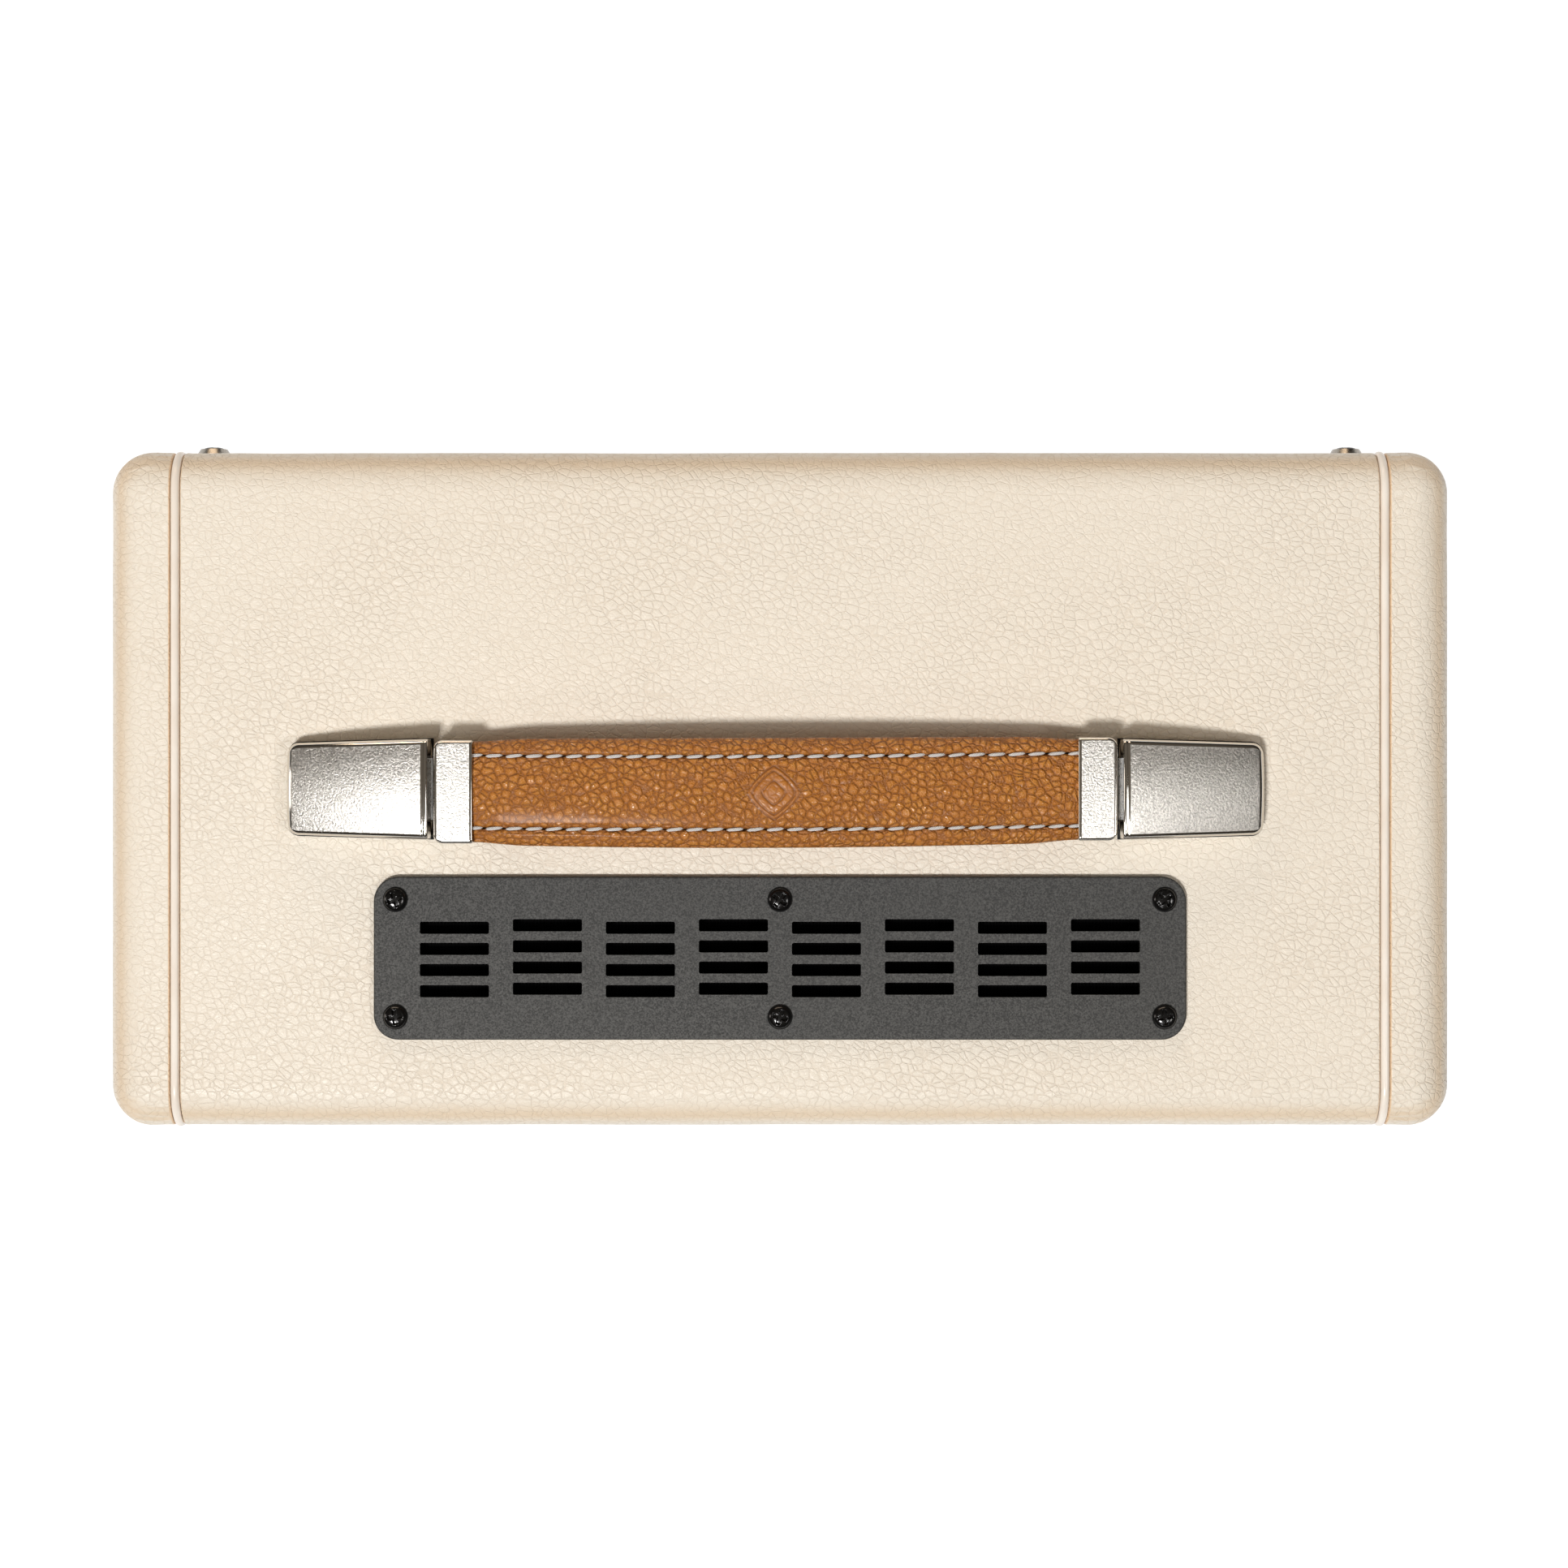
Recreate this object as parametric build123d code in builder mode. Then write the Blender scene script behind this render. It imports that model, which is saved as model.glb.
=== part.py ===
"""Leather-covered portable radio with a strap handle. All sizes are in millimetres.

+X is the radio's right hand side as seen from the front, +Y points to the rear, +Z up.
The origin is on the floor, under the middle of the cabinet.
"""

import os

from build123d import *

os.makedirs("parts", exist_ok=True)

# ---- Cabinet: outside sizes -------------------------------------------------------
WIDTH = 353.5
DEPTH = 178.0
BODY_HEIGHT = 230.0
FOOT_HEIGHT = 10.0
EDGE_R = 11.0  # rounding of the long edges and of the cheeks' corners
END_R = 10.8  # rounding between a cheek's end face and its rim
SKIN = 0.9  # leathercloth thickness
BOARD = 12.0  # top and bottom boards, covered

BASE = FOOT_HEIGHT
TOP = BASE + BODY_HEIGHT
MID_Z = BASE + BODY_HEIGHT / 2
FRONT = -DEPTH / 2
REAR = DEPTH / 2
FLOOR_IN = BASE + BOARD  # inside face of the bottom board
CEILING = TOP - BOARD  # inside face of the top board

# ---- Seams: the cheeks meet the boards at a piped seam ------------------------------
CHEEK_IN = 160.0  # inner face of a cheek
PIPING_W = 2.4
SEAM_GAP = 0.1
SEAM_IN = CHEEK_IN - PIPING_W - 2 * SEAM_GAP  # where the boards' covers end
PIPING_X = CHEEK_IN - SEAM_GAP - PIPING_W / 2
PIPING_PROUD = 0.4
PIPING_DEPTH = 4.2
TONGUE_Y = 78.0  # half depth of a board's plain tongue under the piping
TONGUE_H = 6.5
LIP = 14.0  # how far a cover turns in under its board

# ---- Vent plate ------------------------------------------------------------------
VENT_W, VENT_D, VENT_T, VENT_R = 212.6, 42.7, 2.0, 6.5
VENT_Y = -44.3
SLOT_W, SLOT_H, SLOT_R = 18.1, 3.2, 0.5
SLOT_COLUMNS, SLOT_ROWS = 8, 4
SLOT_PITCH_X, SLOT_PITCH_Y = 24.33, 5.53
SLOT_STAGGER = 0.33  # alternate columns sit this far down and up
VENT_SCREW_X, VENT_SCREW_Y = 100.6, 30.7
DUCT_W, DUCT_D = 192.0, 27.5  # hole in the top board under the plate

# ---- Screws (small pan heads, used on the plates) -----------------------------------
HEAD_R, HEAD_H, SHANK_R, SHANK_L = 3.3, 2.0, 1.5, 10.0

# ---- Handle ----------------------------------------------------------------------
# Distances along X are from the handle's own centre.
HANDLE_X = -1.15
BRACKET_IN, BRACKET_OUT = 89.95, 127.35
BRACKET_W_IN, BRACKET_W_OUT = 25.8, 23.8
BRACKET_H_IN, BRACKET_H_MID, BRACKET_H_OUT = 14.6, 12.0, 6.8
BRACKET_LIP_X = 92.35
BRACKET_CORNER_R, BRACKET_CROWN_R = 3.0, 1.6
CAVITY_OUT, CAVITY_H_OUT = 114.75, 9.3
CAVITY_FLOOR = 2.6  # above the cabinet's top
HANDLE_BOLT_X, HANDLE_BOLT_Y, HANDLE_BOLT_R = 121.75, 7.0, 2.0
FERRULE_IN, FERRULE_OUT = 78.35, 88.65
FERRULE_W, FERRULE_H, FERRULE_WALL = 26.7, 10.2, 1.0
STRAP_END_Z = TOP + 8.4  # centre of the strap at its ferrules
STRAP_RISE = 3.6  # how much higher the strap is at its middle
STRAP_W, STRAP_H, STRAP_R = 28.0, 9.0, 3.6
STRAP_END_X = 77.75
TONGUE_NECK_W, TONGUE_T_W, STEEL_T = 16.0, 19.0, 1.2
TONGUE_IN, TONGUE_NECK_END, TONGUE_OUT = 80.15, 105.65, 112.65
CORE_HALF, CORE_W, CORE_T = 56.0, 18.0, 1.2

# ---- Front -----------------------------------------------------------------------
GRILLE_FACE = FRONT + 3.5
CLOTH = 0.6
GRILLE_FRAME_T = 5.0
BAFFLE_T = 9.0
GRILLE_LOW, GRILLE_HIGH = 22.4, 160.0
RAIL_LOW, RAIL_HIGH = 160.4, 168.0
SPEAKER_X, SPEAKER_Z = 78.0, 91.0
SPEAKER_HOLE_R = 56.0
BAFFLE_FACE = GRILLE_FACE + CLOTH + GRILLE_FRAME_T
BAFFLE_BACK = BAFFLE_FACE + BAFFLE_T

PANEL_FACE = FRONT + 19.0  # front face of the control panel
PANEL_T = 1.5
PANEL_LOW, PANEL_HIGH = 168.2, 227.8
PANEL_HALF = 157.2
CHASSIS_T = 1.2
CHASSIS_HALF = 150.0
CHASSIS_LOW, CHASSIS_FRONT_HIGH, CHASSIS_BACK_HIGH = 170.0, 225.0, 200.0
CHASSIS_BACK = 6.0
CHASSIS_FACE = PANEL_FACE + PANEL_T
CONTROL_Z = 198.0
VOLUME_X, TONE_X, BAND_X, TUNING_X = -112.0, -80.0, -48.0, 126.0
SWITCH_X, SWITCH_Z, PILOT_Z = -141.0, 187.0, 210.0
BUSH_R, BUSH_L, BUSH_BORE = 3.5, 3.2, 3.05
SPINDLE_R = 3.0
KNOB_R, KNOB_H = 12.0, 14.0
TUNING_KNOB_R, TUNING_KNOB_H = 19.0, 14.6
KNOB_GAP = 0.8
NUT_FLATS, NUT_T = 10.0, 2.2

# ---- Dial and its cord -------------------------------------------------------------
DIAL_X = 36.0
DIAL_W, DIAL_H = 104.0, 34.0
CORD_Y = -61.0
CORD_T = 0.8
DRUM_Z, DRUM_R = 195.0, 22.0
POST_Z, POST_R = 219.5, 3.0
POST_HALF = 58.0  # guide posts left and right of the dial's centre
CORD_SPINDLE_R = 5.0

# ---- Rear ------------------------------------------------------------------------
REAR_FACE = REAR - 0.4
PANEL_BOARD = 5.0
REAR_BOARD_IN = REAR_FACE - SKIN - PANEL_BOARD
REAR_HALF = 157.0
REAR_LOW, REAR_HIGH = FLOOR_IN + 0.4, CEILING - 0.4
REAR_SCREW_X = 151.5
REAR_SCREW_ZS = (30.0, 93.0, 157.0, 220.0)
CUP_R, CUP_H = 4.7, 2.2

BAY_HALF, BAY_LOW, BAY_HIGH, BAY_DEEP = 68.0, 34.0, 142.4, 42.0
BAY_WALL = 2.0
CELL_R, CELL_L = 17.0, 61.0
CELL_PITCH = 34.6
DOOR_HALF, DOOR_T = 68.6, 2.5
HINGE_Z, HINGE_R, HINGE_PIN_R = 37.0, 2.6, 1.2
HINGE_Y = REAR_FACE - HINGE_R
DOOR_HIGH = 142.2

SOCKET_Z = 184.0
SOCKET_PLATE_W, SOCKET_PLATE_H, SOCKET_PLATE_T = 124.0, 36.0, 1.2
SOCKET_SCREW_X, SOCKET_SCREW_Z = 58.0, 14.0
INLET_X, AUX_X, PHONES_X = -38.0, 12.0, 38.0
JACK_BORE_R = 1.8

# ---- Feet ------------------------------------------------------------------------
FOOT_X, FOOT_Y = 138.0, 62.0
FOOT_R_TOP, FOOT_R_BOTTOM = 11.0, 9.0


# ==== Shared helpers ================================================================
def save(builder, name, shift=0.0):
    """Writes a finished sub-part, moved by shift along X, as parts/<name>.step."""
    part = builder.part.moved(Location((shift, 0, 0)))
    part.label = name
    export_step(part, f"parts/{name}.step")


def board_section(low, high, inset, rounded):
    """YZ section of the top or bottom board, pulled in by inset from its outside."""
    with BuildSketch(Plane.YZ) as section:
        with Locations((0, (low + high) / 2)):
            Rectangle(DEPTH - 2 * inset, high - low - 2 * inset)
        rows = section.vertices().group_by(Axis.Y)
        fillet(rows[-1] if rounded == "top" else rows[0], EDGE_R - inset)
    return section.sketch


def panel_sketch(plane, half_width, low, high):
    """A rectangle between two heights on a plane that faces front or rear."""
    with BuildSketch(plane) as outline:
        with Locations((0, (low + high) / 2)):
            Rectangle(2 * half_width, high - low)
    return outline.sketch


def upright(y):
    """The plane that faces the front at depth y."""
    return Plane.XZ.offset(-y)


def cross_recess(size, depth, top):
    """The cross-shaped driver recess of a screw that points up, as a solid to subtract."""
    with BuildPart(Plane.XY.offset(top - depth)) as recess:
        Box(size, size / 4, depth * 2, align=(Align.CENTER, Align.CENTER, Align.MIN))
        Box(size / 4, size, depth * 2, align=(Align.CENTER, Align.CENTER, Align.MIN))
    return recess.part


def pan_screw(head_r=HEAD_R, head_h=HEAD_H, shank_r=SHANK_R, shank_l=SHANK_L):
    """A domed screw that stands on z = 0 with its shank below."""
    with BuildPart() as screw:
        Cylinder(head_r, head_h, align=(Align.CENTER, Align.CENTER, Align.MIN))
        fillet(screw.edges().group_by(Axis.Z)[-1], head_h * 0.8)
        Cylinder(shank_r, shank_l, align=(Align.CENTER, Align.CENTER, Align.MAX))
        add(cross_recess(head_r * 1.05, head_h * 0.6, head_h), mode=Mode.SUBTRACT)
    return screw.part


def facing_front(x, y, z):
    """Turns a piece that was made pointing up so that it points to the front."""
    return Location((x, y, z), (90, 0, 0))


def facing_rear(x, y, z):
    """Turns a piece that was made pointing up so that it points to the rear."""
    return Location((x, y, z), (-90, 0, 0))


# ==== Cabinet boards and their covers ===============================================
vent_screw_places = [
    (x, VENT_Y + y)
    for x in (-VENT_SCREW_X, 0, VENT_SCREW_X)
    for y in (-VENT_SCREW_Y / 2, VENT_SCREW_Y / 2)
]
bolt_places = [
    (HANDLE_X + side * HANDLE_BOLT_X, y)
    for side in (-1, 1)
    for y in (-HANDLE_BOLT_Y, HANDLE_BOLT_Y)
]

with BuildPart() as top_board:
    extrude(board_section(CEILING, TOP, SKIN, "top"), amount=SEAM_IN, both=True)
    with Locations((0, 0, CEILING + SKIN + TONGUE_H / 2)):
        Box(2 * CHEEK_IN, 2 * TONGUE_Y, TONGUE_H)
    with Locations((0, VENT_Y, TOP)):
        Box(DUCT_W, DUCT_D, 4 * BOARD, mode=Mode.SUBTRACT)
    with BuildSketch(Plane.XY.offset(TOP)):
        with Locations(*vent_screw_places):
            Circle(SHANK_R)
    extrude(amount=-(SHANK_L - VENT_T), mode=Mode.SUBTRACT)
    with BuildSketch(Plane.XY.offset(TOP)):
        with Locations(*bolt_places):
            Circle(HANDLE_BOLT_R)
    extrude(amount=-2 * BOARD, mode=Mode.SUBTRACT)
save(top_board, "top_board")

with BuildPart() as top_cover:
    extrude(board_section(CEILING, TOP, 0, "top"), amount=SEAM_IN, both=True)
    extrude(
        board_section(CEILING, TOP, SKIN, "top"),
        amount=SEAM_IN,
        both=True,
        mode=Mode.SUBTRACT,
    )
    with Locations((0, 0, CEILING)):
        Box(2 * WIDTH, DEPTH - 2 * LIP, 2 * SKIN, mode=Mode.SUBTRACT)
    with Locations((0, VENT_Y, TOP)):
        Box(DUCT_W, DUCT_D, 2 * BOARD, mode=Mode.SUBTRACT)
    with BuildSketch(Plane.XY.offset(TOP)):
        with Locations(*vent_screw_places):
            Circle(SHANK_R)
        with Locations(*bolt_places):
            Circle(HANDLE_BOLT_R)
    extrude(amount=-BOARD / 2, mode=Mode.SUBTRACT)
save(top_cover, "top_cover")

foot_places = [(x, y) for x in (-FOOT_X, FOOT_X) for y in (-FOOT_Y, FOOT_Y)]

with BuildPart() as bottom_board:
    extrude(board_section(BASE, FLOOR_IN, SKIN, "bottom"), amount=SEAM_IN, both=True)
    with Locations((0, 0, FLOOR_IN - SKIN - TONGUE_H / 2)):
        Box(2 * CHEEK_IN, 2 * TONGUE_Y, TONGUE_H)
    with BuildSketch(Plane.XY.offset(BASE)):
        with Locations(*foot_places):
            Circle(HANDLE_BOLT_R)
    extrude(amount=BOARD - 2, mode=Mode.SUBTRACT)
save(bottom_board, "bottom_board")

with BuildPart() as bottom_cover:
    extrude(board_section(BASE, FLOOR_IN, 0, "bottom"), amount=SEAM_IN, both=True)
    extrude(
        board_section(BASE, FLOOR_IN, SKIN, "bottom"),
        amount=SEAM_IN,
        both=True,
        mode=Mode.SUBTRACT,
    )
    with Locations((0, 0, FLOOR_IN)):
        Box(2 * WIDTH, DEPTH - 2 * LIP, 2 * SKIN, mode=Mode.SUBTRACT)
    with BuildSketch(Plane.XY.offset(BASE)):
        with Locations(*foot_places):
            Circle(HANDLE_BOLT_R)
    extrude(amount=BOARD / 2, mode=Mode.SUBTRACT)
save(bottom_cover, "bottom_cover")


def cheek_solid(inset):
    """The right cheek as a solid, pulled in by inset from its outer faces."""
    with BuildPart() as cheek:
        with BuildSketch(Plane.YZ.offset(CHEEK_IN)):
            with Locations((0, MID_Z)):
                RectangleRounded(DEPTH - 2 * inset, BODY_HEIGHT - 2 * inset, EDGE_R - inset)
        extrude(amount=WIDTH / 2 - CHEEK_IN - inset)
        fillet(cheek.faces().sort_by(Axis.X)[-1].edges(), END_R - inset)
    return cheek.part


with BuildPart() as right_cheek:
    add(cheek_solid(SKIN))
save(right_cheek, "right_cheek")

with BuildPart() as left_cheek:
    mirror(right_cheek.part, about=Plane.YZ)
save(left_cheek, "left_cheek")

with BuildPart() as right_cheek_cover:
    add(cheek_solid(0))
    add(cheek_solid(SKIN), mode=Mode.SUBTRACT)
save(right_cheek_cover, "right_cheek_cover")

with BuildPart() as left_cheek_cover:
    mirror(right_cheek_cover.part, about=Plane.YZ)
save(left_cheek_cover, "left_cheek_cover")

with BuildPart() as right_piping:
    with BuildSketch(Plane.YZ.offset(PIPING_X)):
        with Locations((0, MID_Z)):
            RectangleRounded(
                DEPTH + 2 * PIPING_PROUD,
                BODY_HEIGHT + 2 * PIPING_PROUD,
                EDGE_R + PIPING_PROUD,
            )
            RectangleRounded(
                DEPTH - 2 * PIPING_DEPTH,
                BODY_HEIGHT - 2 * PIPING_DEPTH,
                EDGE_R - PIPING_DEPTH,
                mode=Mode.SUBTRACT,
            )
    extrude(amount=PIPING_W / 2, both=True)
    rims = [face.outer_wire() for face in right_piping.faces().filter_by(Axis.X)]
    fillet([edge for rim in rims for edge in rim.edges()], PIPING_W / 2 - 0.08)
save(right_piping, "right_piping")

with BuildPart() as left_piping:
    mirror(right_piping.part, about=Plane.YZ)
save(left_piping, "left_piping")

CLEAT = 12.0
with BuildPart() as cleats:
    for side in (-1, 1):
        x = side * (CHEEK_IN - CLEAT / 2)
        with Locations((x, REAR_BOARD_IN - CLEAT / 2, MID_Z)):
            Box(CLEAT, CLEAT, CEILING - FLOOR_IN)
        with Locations((x, BAFFLE_BACK + CLEAT / 2, (FLOOR_IN + RAIL_LOW - 4) / 2)):
            Box(CLEAT, CLEAT, RAIL_LOW - 4 - FLOOR_IN)
        with Locations(
            (side * (CHEEK_IN + CHASSIS_HALF) / 2, CHASSIS_FACE + CLEAT / 2, CONTROL_Z)
        ):
            Box(CHEEK_IN - CHASSIS_HALF - 0.4, CLEAT, 54)
    with Locations(
        *[
            facing_rear(side * REAR_SCREW_X, REAR_BOARD_IN, z)
            for side in (-1, 1)
            for z in REAR_SCREW_ZS
        ]
    ):
        Cylinder(SHANK_R, 2 * CLEAT - 6, mode=Mode.SUBTRACT)
save(cleats, "cleats")


# ==== Vent plate ====================================================================
with BuildPart() as vent_plate:
    with BuildSketch(Plane.XY.offset(TOP)):
        with Locations((0, VENT_Y)):
            RectangleRounded(VENT_W, VENT_D, VENT_R)
        with Locations(*vent_screw_places):
            Circle(SHANK_R, mode=Mode.SUBTRACT)
        for column in range(SLOT_COLUMNS):
            x = (column - (SLOT_COLUMNS - 1) / 2) * SLOT_PITCH_X
            shift = SLOT_STAGGER if column % 2 else -SLOT_STAGGER
            with Locations((x, VENT_Y + shift)):
                with GridLocations(0, SLOT_PITCH_Y, 1, SLOT_ROWS):
                    RectangleRounded(SLOT_W, SLOT_H, SLOT_R, mode=Mode.SUBTRACT)
    extrude(amount=VENT_T)
    rim = vent_plate.faces().sort_by(Axis.Z)[-1].outer_wire().edges()
    fillet(rim, 0.5)
save(vent_plate, "vent_plate")

with BuildPart() as vent_screws:
    with Locations(*[(x, y, TOP + VENT_T) for x, y in vent_screw_places]):
        add(pan_screw())
save(vent_screws, "vent_screws")


# ==== Handle ========================================================================
def right_bracket_solid():
    """A die-cast end bracket: a tapered wedge with a cavity for the strap's tongue."""
    with BuildPart() as bracket:
        with BuildSketch(Plane.XY.offset(TOP)):
            Polygon(
                (BRACKET_IN, -BRACKET_W_IN / 2),
                (BRACKET_OUT, -BRACKET_W_OUT / 2),
                (BRACKET_OUT, BRACKET_W_OUT / 2),
                (BRACKET_IN, BRACKET_W_IN / 2),
                align=None,
            )
        extrude(amount=2 * BRACKET_H_IN)
        fillet(bracket.edges().filter_by(Axis.Z).group_by(Axis.X)[-1], BRACKET_CORNER_R)
        with BuildSketch(Plane.XZ):
            with BuildLine():
                Polyline(
                    (BRACKET_IN, TOP + BRACKET_H_IN),
                    (BRACKET_IN, TOP),
                    (BRACKET_OUT, TOP),
                    (BRACKET_OUT, TOP + BRACKET_H_OUT),
                )
                ThreePointArc(
                    (BRACKET_OUT, TOP + BRACKET_H_OUT),
                    ((BRACKET_IN + BRACKET_OUT) / 2, TOP + BRACKET_H_MID),
                    (BRACKET_IN, TOP + BRACKET_H_IN),
                )
            make_face()
        extrude(amount=BRACKET_W_IN, both=True, mode=Mode.INTERSECT)
        crown = bracket.faces().sort_by(Axis.Z)[-1].edges()
        fillet(crown, BRACKET_CROWN_R)
        with BuildSketch(Plane.XZ):
            Polygon(
                (BRACKET_LIP_X, TOP + CAVITY_FLOOR),
                (CAVITY_OUT, TOP + CAVITY_FLOOR),
                (CAVITY_OUT, TOP + CAVITY_H_OUT),
                (BRACKET_LIP_X, TOP + BRACKET_H_IN - 1.7),
                align=None,
            )
        extrude(amount=TONGUE_T_W / 2 + 0.6, both=True, mode=Mode.SUBTRACT)
        with BuildSketch(Plane.XZ):
            Polygon(
                (BRACKET_IN - 3, TOP + CAVITY_FLOOR),
                (CAVITY_OUT, TOP + CAVITY_FLOOR),
                (CAVITY_OUT, TOP + CAVITY_H_OUT),
                (BRACKET_IN - 3, TOP + BRACKET_H_IN - 1.2),
                align=None,
            )
        extrude(amount=TONGUE_NECK_W / 2 + 0.6, both=True, mode=Mode.SUBTRACT)
        with BuildSketch(Plane.XY.offset(TOP)):
            with Locations((HANDLE_BOLT_X, -HANDLE_BOLT_Y), (HANDLE_BOLT_X, HANDLE_BOLT_Y)):
                Circle(HANDLE_BOLT_R)
        extrude(amount=4.5, mode=Mode.SUBTRACT)
    return bracket.part


with BuildPart() as right_bracket:
    add(right_bracket_solid())
save(right_bracket, "right_bracket", HANDLE_X)

with BuildPart() as left_bracket:
    mirror(right_bracket.part, about=Plane.YZ)
save(left_bracket, "left_bracket", HANDLE_X)

with BuildPart() as handle_bolts:
    with Locations(*[(x, y, CEILING + SKIN) for x, y in bolt_places]):
        Cylinder(4.6, 1.0, align=(Align.CENTER, Align.CENTER, Align.MAX))
        Cylinder(
            HANDLE_BOLT_R,
            TOP + 4.4 - CEILING - SKIN,
            align=(Align.CENTER, Align.CENTER, Align.MIN),
        )
    with Locations(*[(x, y, CEILING + SKIN - 1.0) for x, y in bolt_places]):
        Cylinder(3.6, 2.6, align=(Align.CENTER, Align.CENTER, Align.MAX))
save(handle_bolts, "handle_bolts")

with BuildPart() as right_ferrule:
    with Locations(((FERRULE_IN + FERRULE_OUT) / 2, 0, STRAP_END_Z)):
        Box(FERRULE_OUT - FERRULE_IN, FERRULE_W, FERRULE_H)
    fillet(right_ferrule.edges().filter_by(Axis.Z).group_by(Axis.X)[-1], 2.6)
    caps = right_ferrule.faces().filter_by(Axis.Z)
    fillet(caps.edges().filter_by(lambda edge: edge.center().X > FERRULE_IN + 0.1), 1.2)
    with Locations((FERRULE_IN, 0, STRAP_END_Z)):
        Box(
            2 * (FERRULE_OUT - FERRULE_IN - FERRULE_WALL),
            FERRULE_W - 2 * FERRULE_WALL,
            FERRULE_H - 2 * FERRULE_WALL,
            mode=Mode.SUBTRACT,
        )
        Box(60, TONGUE_NECK_W, STEEL_T, mode=Mode.SUBTRACT)
save(right_ferrule, "right_ferrule", HANDLE_X)

with BuildPart() as left_ferrule:
    mirror(right_ferrule.part, about=Plane.YZ)
save(left_ferrule, "left_ferrule", HANDLE_X)

with BuildPart() as right_tongue:
    with BuildSketch(Plane.XY.offset(STRAP_END_Z - STEEL_T / 2)):
        with Locations(((TONGUE_IN + TONGUE_OUT) / 2, 0)):
            Rectangle(TONGUE_OUT - TONGUE_IN, TONGUE_NECK_W)
        with Locations(((TONGUE_NECK_END + TONGUE_OUT) / 2, 0)):
            Rectangle(TONGUE_OUT - TONGUE_NECK_END, TONGUE_T_W)
    extrude(amount=STEEL_T)
save(right_tongue, "right_tongue", HANDLE_X)

with BuildPart() as left_tongue:
    mirror(right_tongue.part, about=Plane.YZ)
save(left_tongue, "left_tongue", HANDLE_X)


def strap_path(half_length):
    """The strap's centre line, arched between its two ends, cut to half_length."""
    with BuildLine() as line:
        ThreePointArc(
            (-STRAP_END_X, 0, STRAP_END_Z),
            (0, 0, STRAP_END_Z + STRAP_RISE),
            (STRAP_END_X, 0, STRAP_END_Z),
        )
    whole = line.edges()[0]
    spare = (1 - half_length / STRAP_END_X) / 2
    return whole.trim(spare, 1 - spare)


def strap_sweep(half_length, width, height, radius):
    """A rounded bar of the strap's section, swept along its arched centre line."""
    path = strap_path(half_length)
    start = path.position_at(0)
    tangent = path.tangent_at(0)
    with BuildPart() as bar:
        with BuildSketch(Plane(origin=start, x_dir=(0, 1, 0), z_dir=tangent)):
            RectangleRounded(width, height, radius)
        sweep(path=path)
    return bar.part


with BuildPart() as grip_core:
    add(strap_sweep(CORE_HALF, CORE_W, CORE_T, CORE_T / 2 - 0.05))
save(grip_core, "grip_core", HANDLE_X)

with BuildPart() as handle_grip:
    add(strap_sweep(STRAP_END_X, STRAP_W, STRAP_H, STRAP_R))
    for side in (-1, 1):
        with Locations((side * (STRAP_END_X + 4.0), 0, STRAP_END_Z)):
            Box(10.0, FERRULE_W - 2 * FERRULE_WALL - 0.4, FERRULE_H - 2 * FERRULE_WALL - 0.4)
        with Locations((side * (TONGUE_IN + 10.0), 0, STRAP_END_Z)):
            Box(20.4, TONGUE_NECK_W + 0.4, STEEL_T + 0.4, mode=Mode.SUBTRACT)
    add(strap_sweep(CORE_HALF, CORE_W, CORE_T, CORE_T / 2 - 0.05), mode=Mode.SUBTRACT)
save(handle_grip, "handle_grip", HANDLE_X)


# ==== Front: baffle, grille, rail ===================================================
speaker_places = [(-SPEAKER_X, SPEAKER_Z), (SPEAKER_X, SPEAKER_Z)]

with BuildPart() as baffle_board:
    with BuildSketch(upright(BAFFLE_BACK)):
        add(panel_sketch(Plane.XY, CHEEK_IN - 0.2, FLOOR_IN + 0.2, GRILLE_HIGH))
        with Locations(*speaker_places):
            Circle(SPEAKER_HOLE_R, mode=Mode.SUBTRACT)
    extrude(amount=BAFFLE_T)
save(baffle_board, "baffle_board")

GRILLE_HALF = SEAM_IN - 0.2
GRILLE_MID = (GRILLE_LOW + GRILLE_HIGH) / 2
FRAME_RIB = 13.0
frame_w = 2 * (GRILLE_HALF - CLOTH)
frame_h = GRILLE_HIGH - GRILLE_LOW - 2 * CLOTH
window_w = (frame_w - 3 * FRAME_RIB) / 2

with BuildPart() as grille_frame:
    with BuildSketch(upright(BAFFLE_FACE)):
        with Locations((0, GRILLE_MID)):
            Rectangle(frame_w, frame_h)
            with GridLocations(window_w + FRAME_RIB, 0, 2, 1):
                RectangleRounded(window_w, frame_h - 2 * FRAME_RIB, 6, mode=Mode.SUBTRACT)
    extrude(amount=GRILLE_FRAME_T)
save(grille_frame, "grille_frame")

with BuildPart() as grille_cloth:
    extrude(
        panel_sketch(upright(BAFFLE_FACE), GRILLE_HALF, GRILLE_LOW, GRILLE_HIGH),
        amount=GRILLE_FRAME_T + CLOTH,
    )
    extrude(
        panel_sketch(
            upright(BAFFLE_FACE),
            GRILLE_HALF - CLOTH,
            GRILLE_LOW + CLOTH,
            GRILLE_HIGH - CLOTH,
        ),
        amount=GRILLE_FRAME_T,
        mode=Mode.SUBTRACT,
    )
save(grille_cloth, "grille_cloth")

RAIL_DEPTH = 26.0
with BuildPart() as front_rail:
    with Locations((0, GRILLE_FACE - 0.5 + RAIL_DEPTH / 2, (RAIL_LOW + RAIL_HIGH) / 2)):
        Box(2 * SEAM_IN, RAIL_DEPTH, RAIL_HIGH - RAIL_LOW)
    fillet(front_rail.faces().sort_by(Axis.Y)[0].edges().filter_by(Axis.X), 2.4)
save(front_rail, "front_rail")


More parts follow.
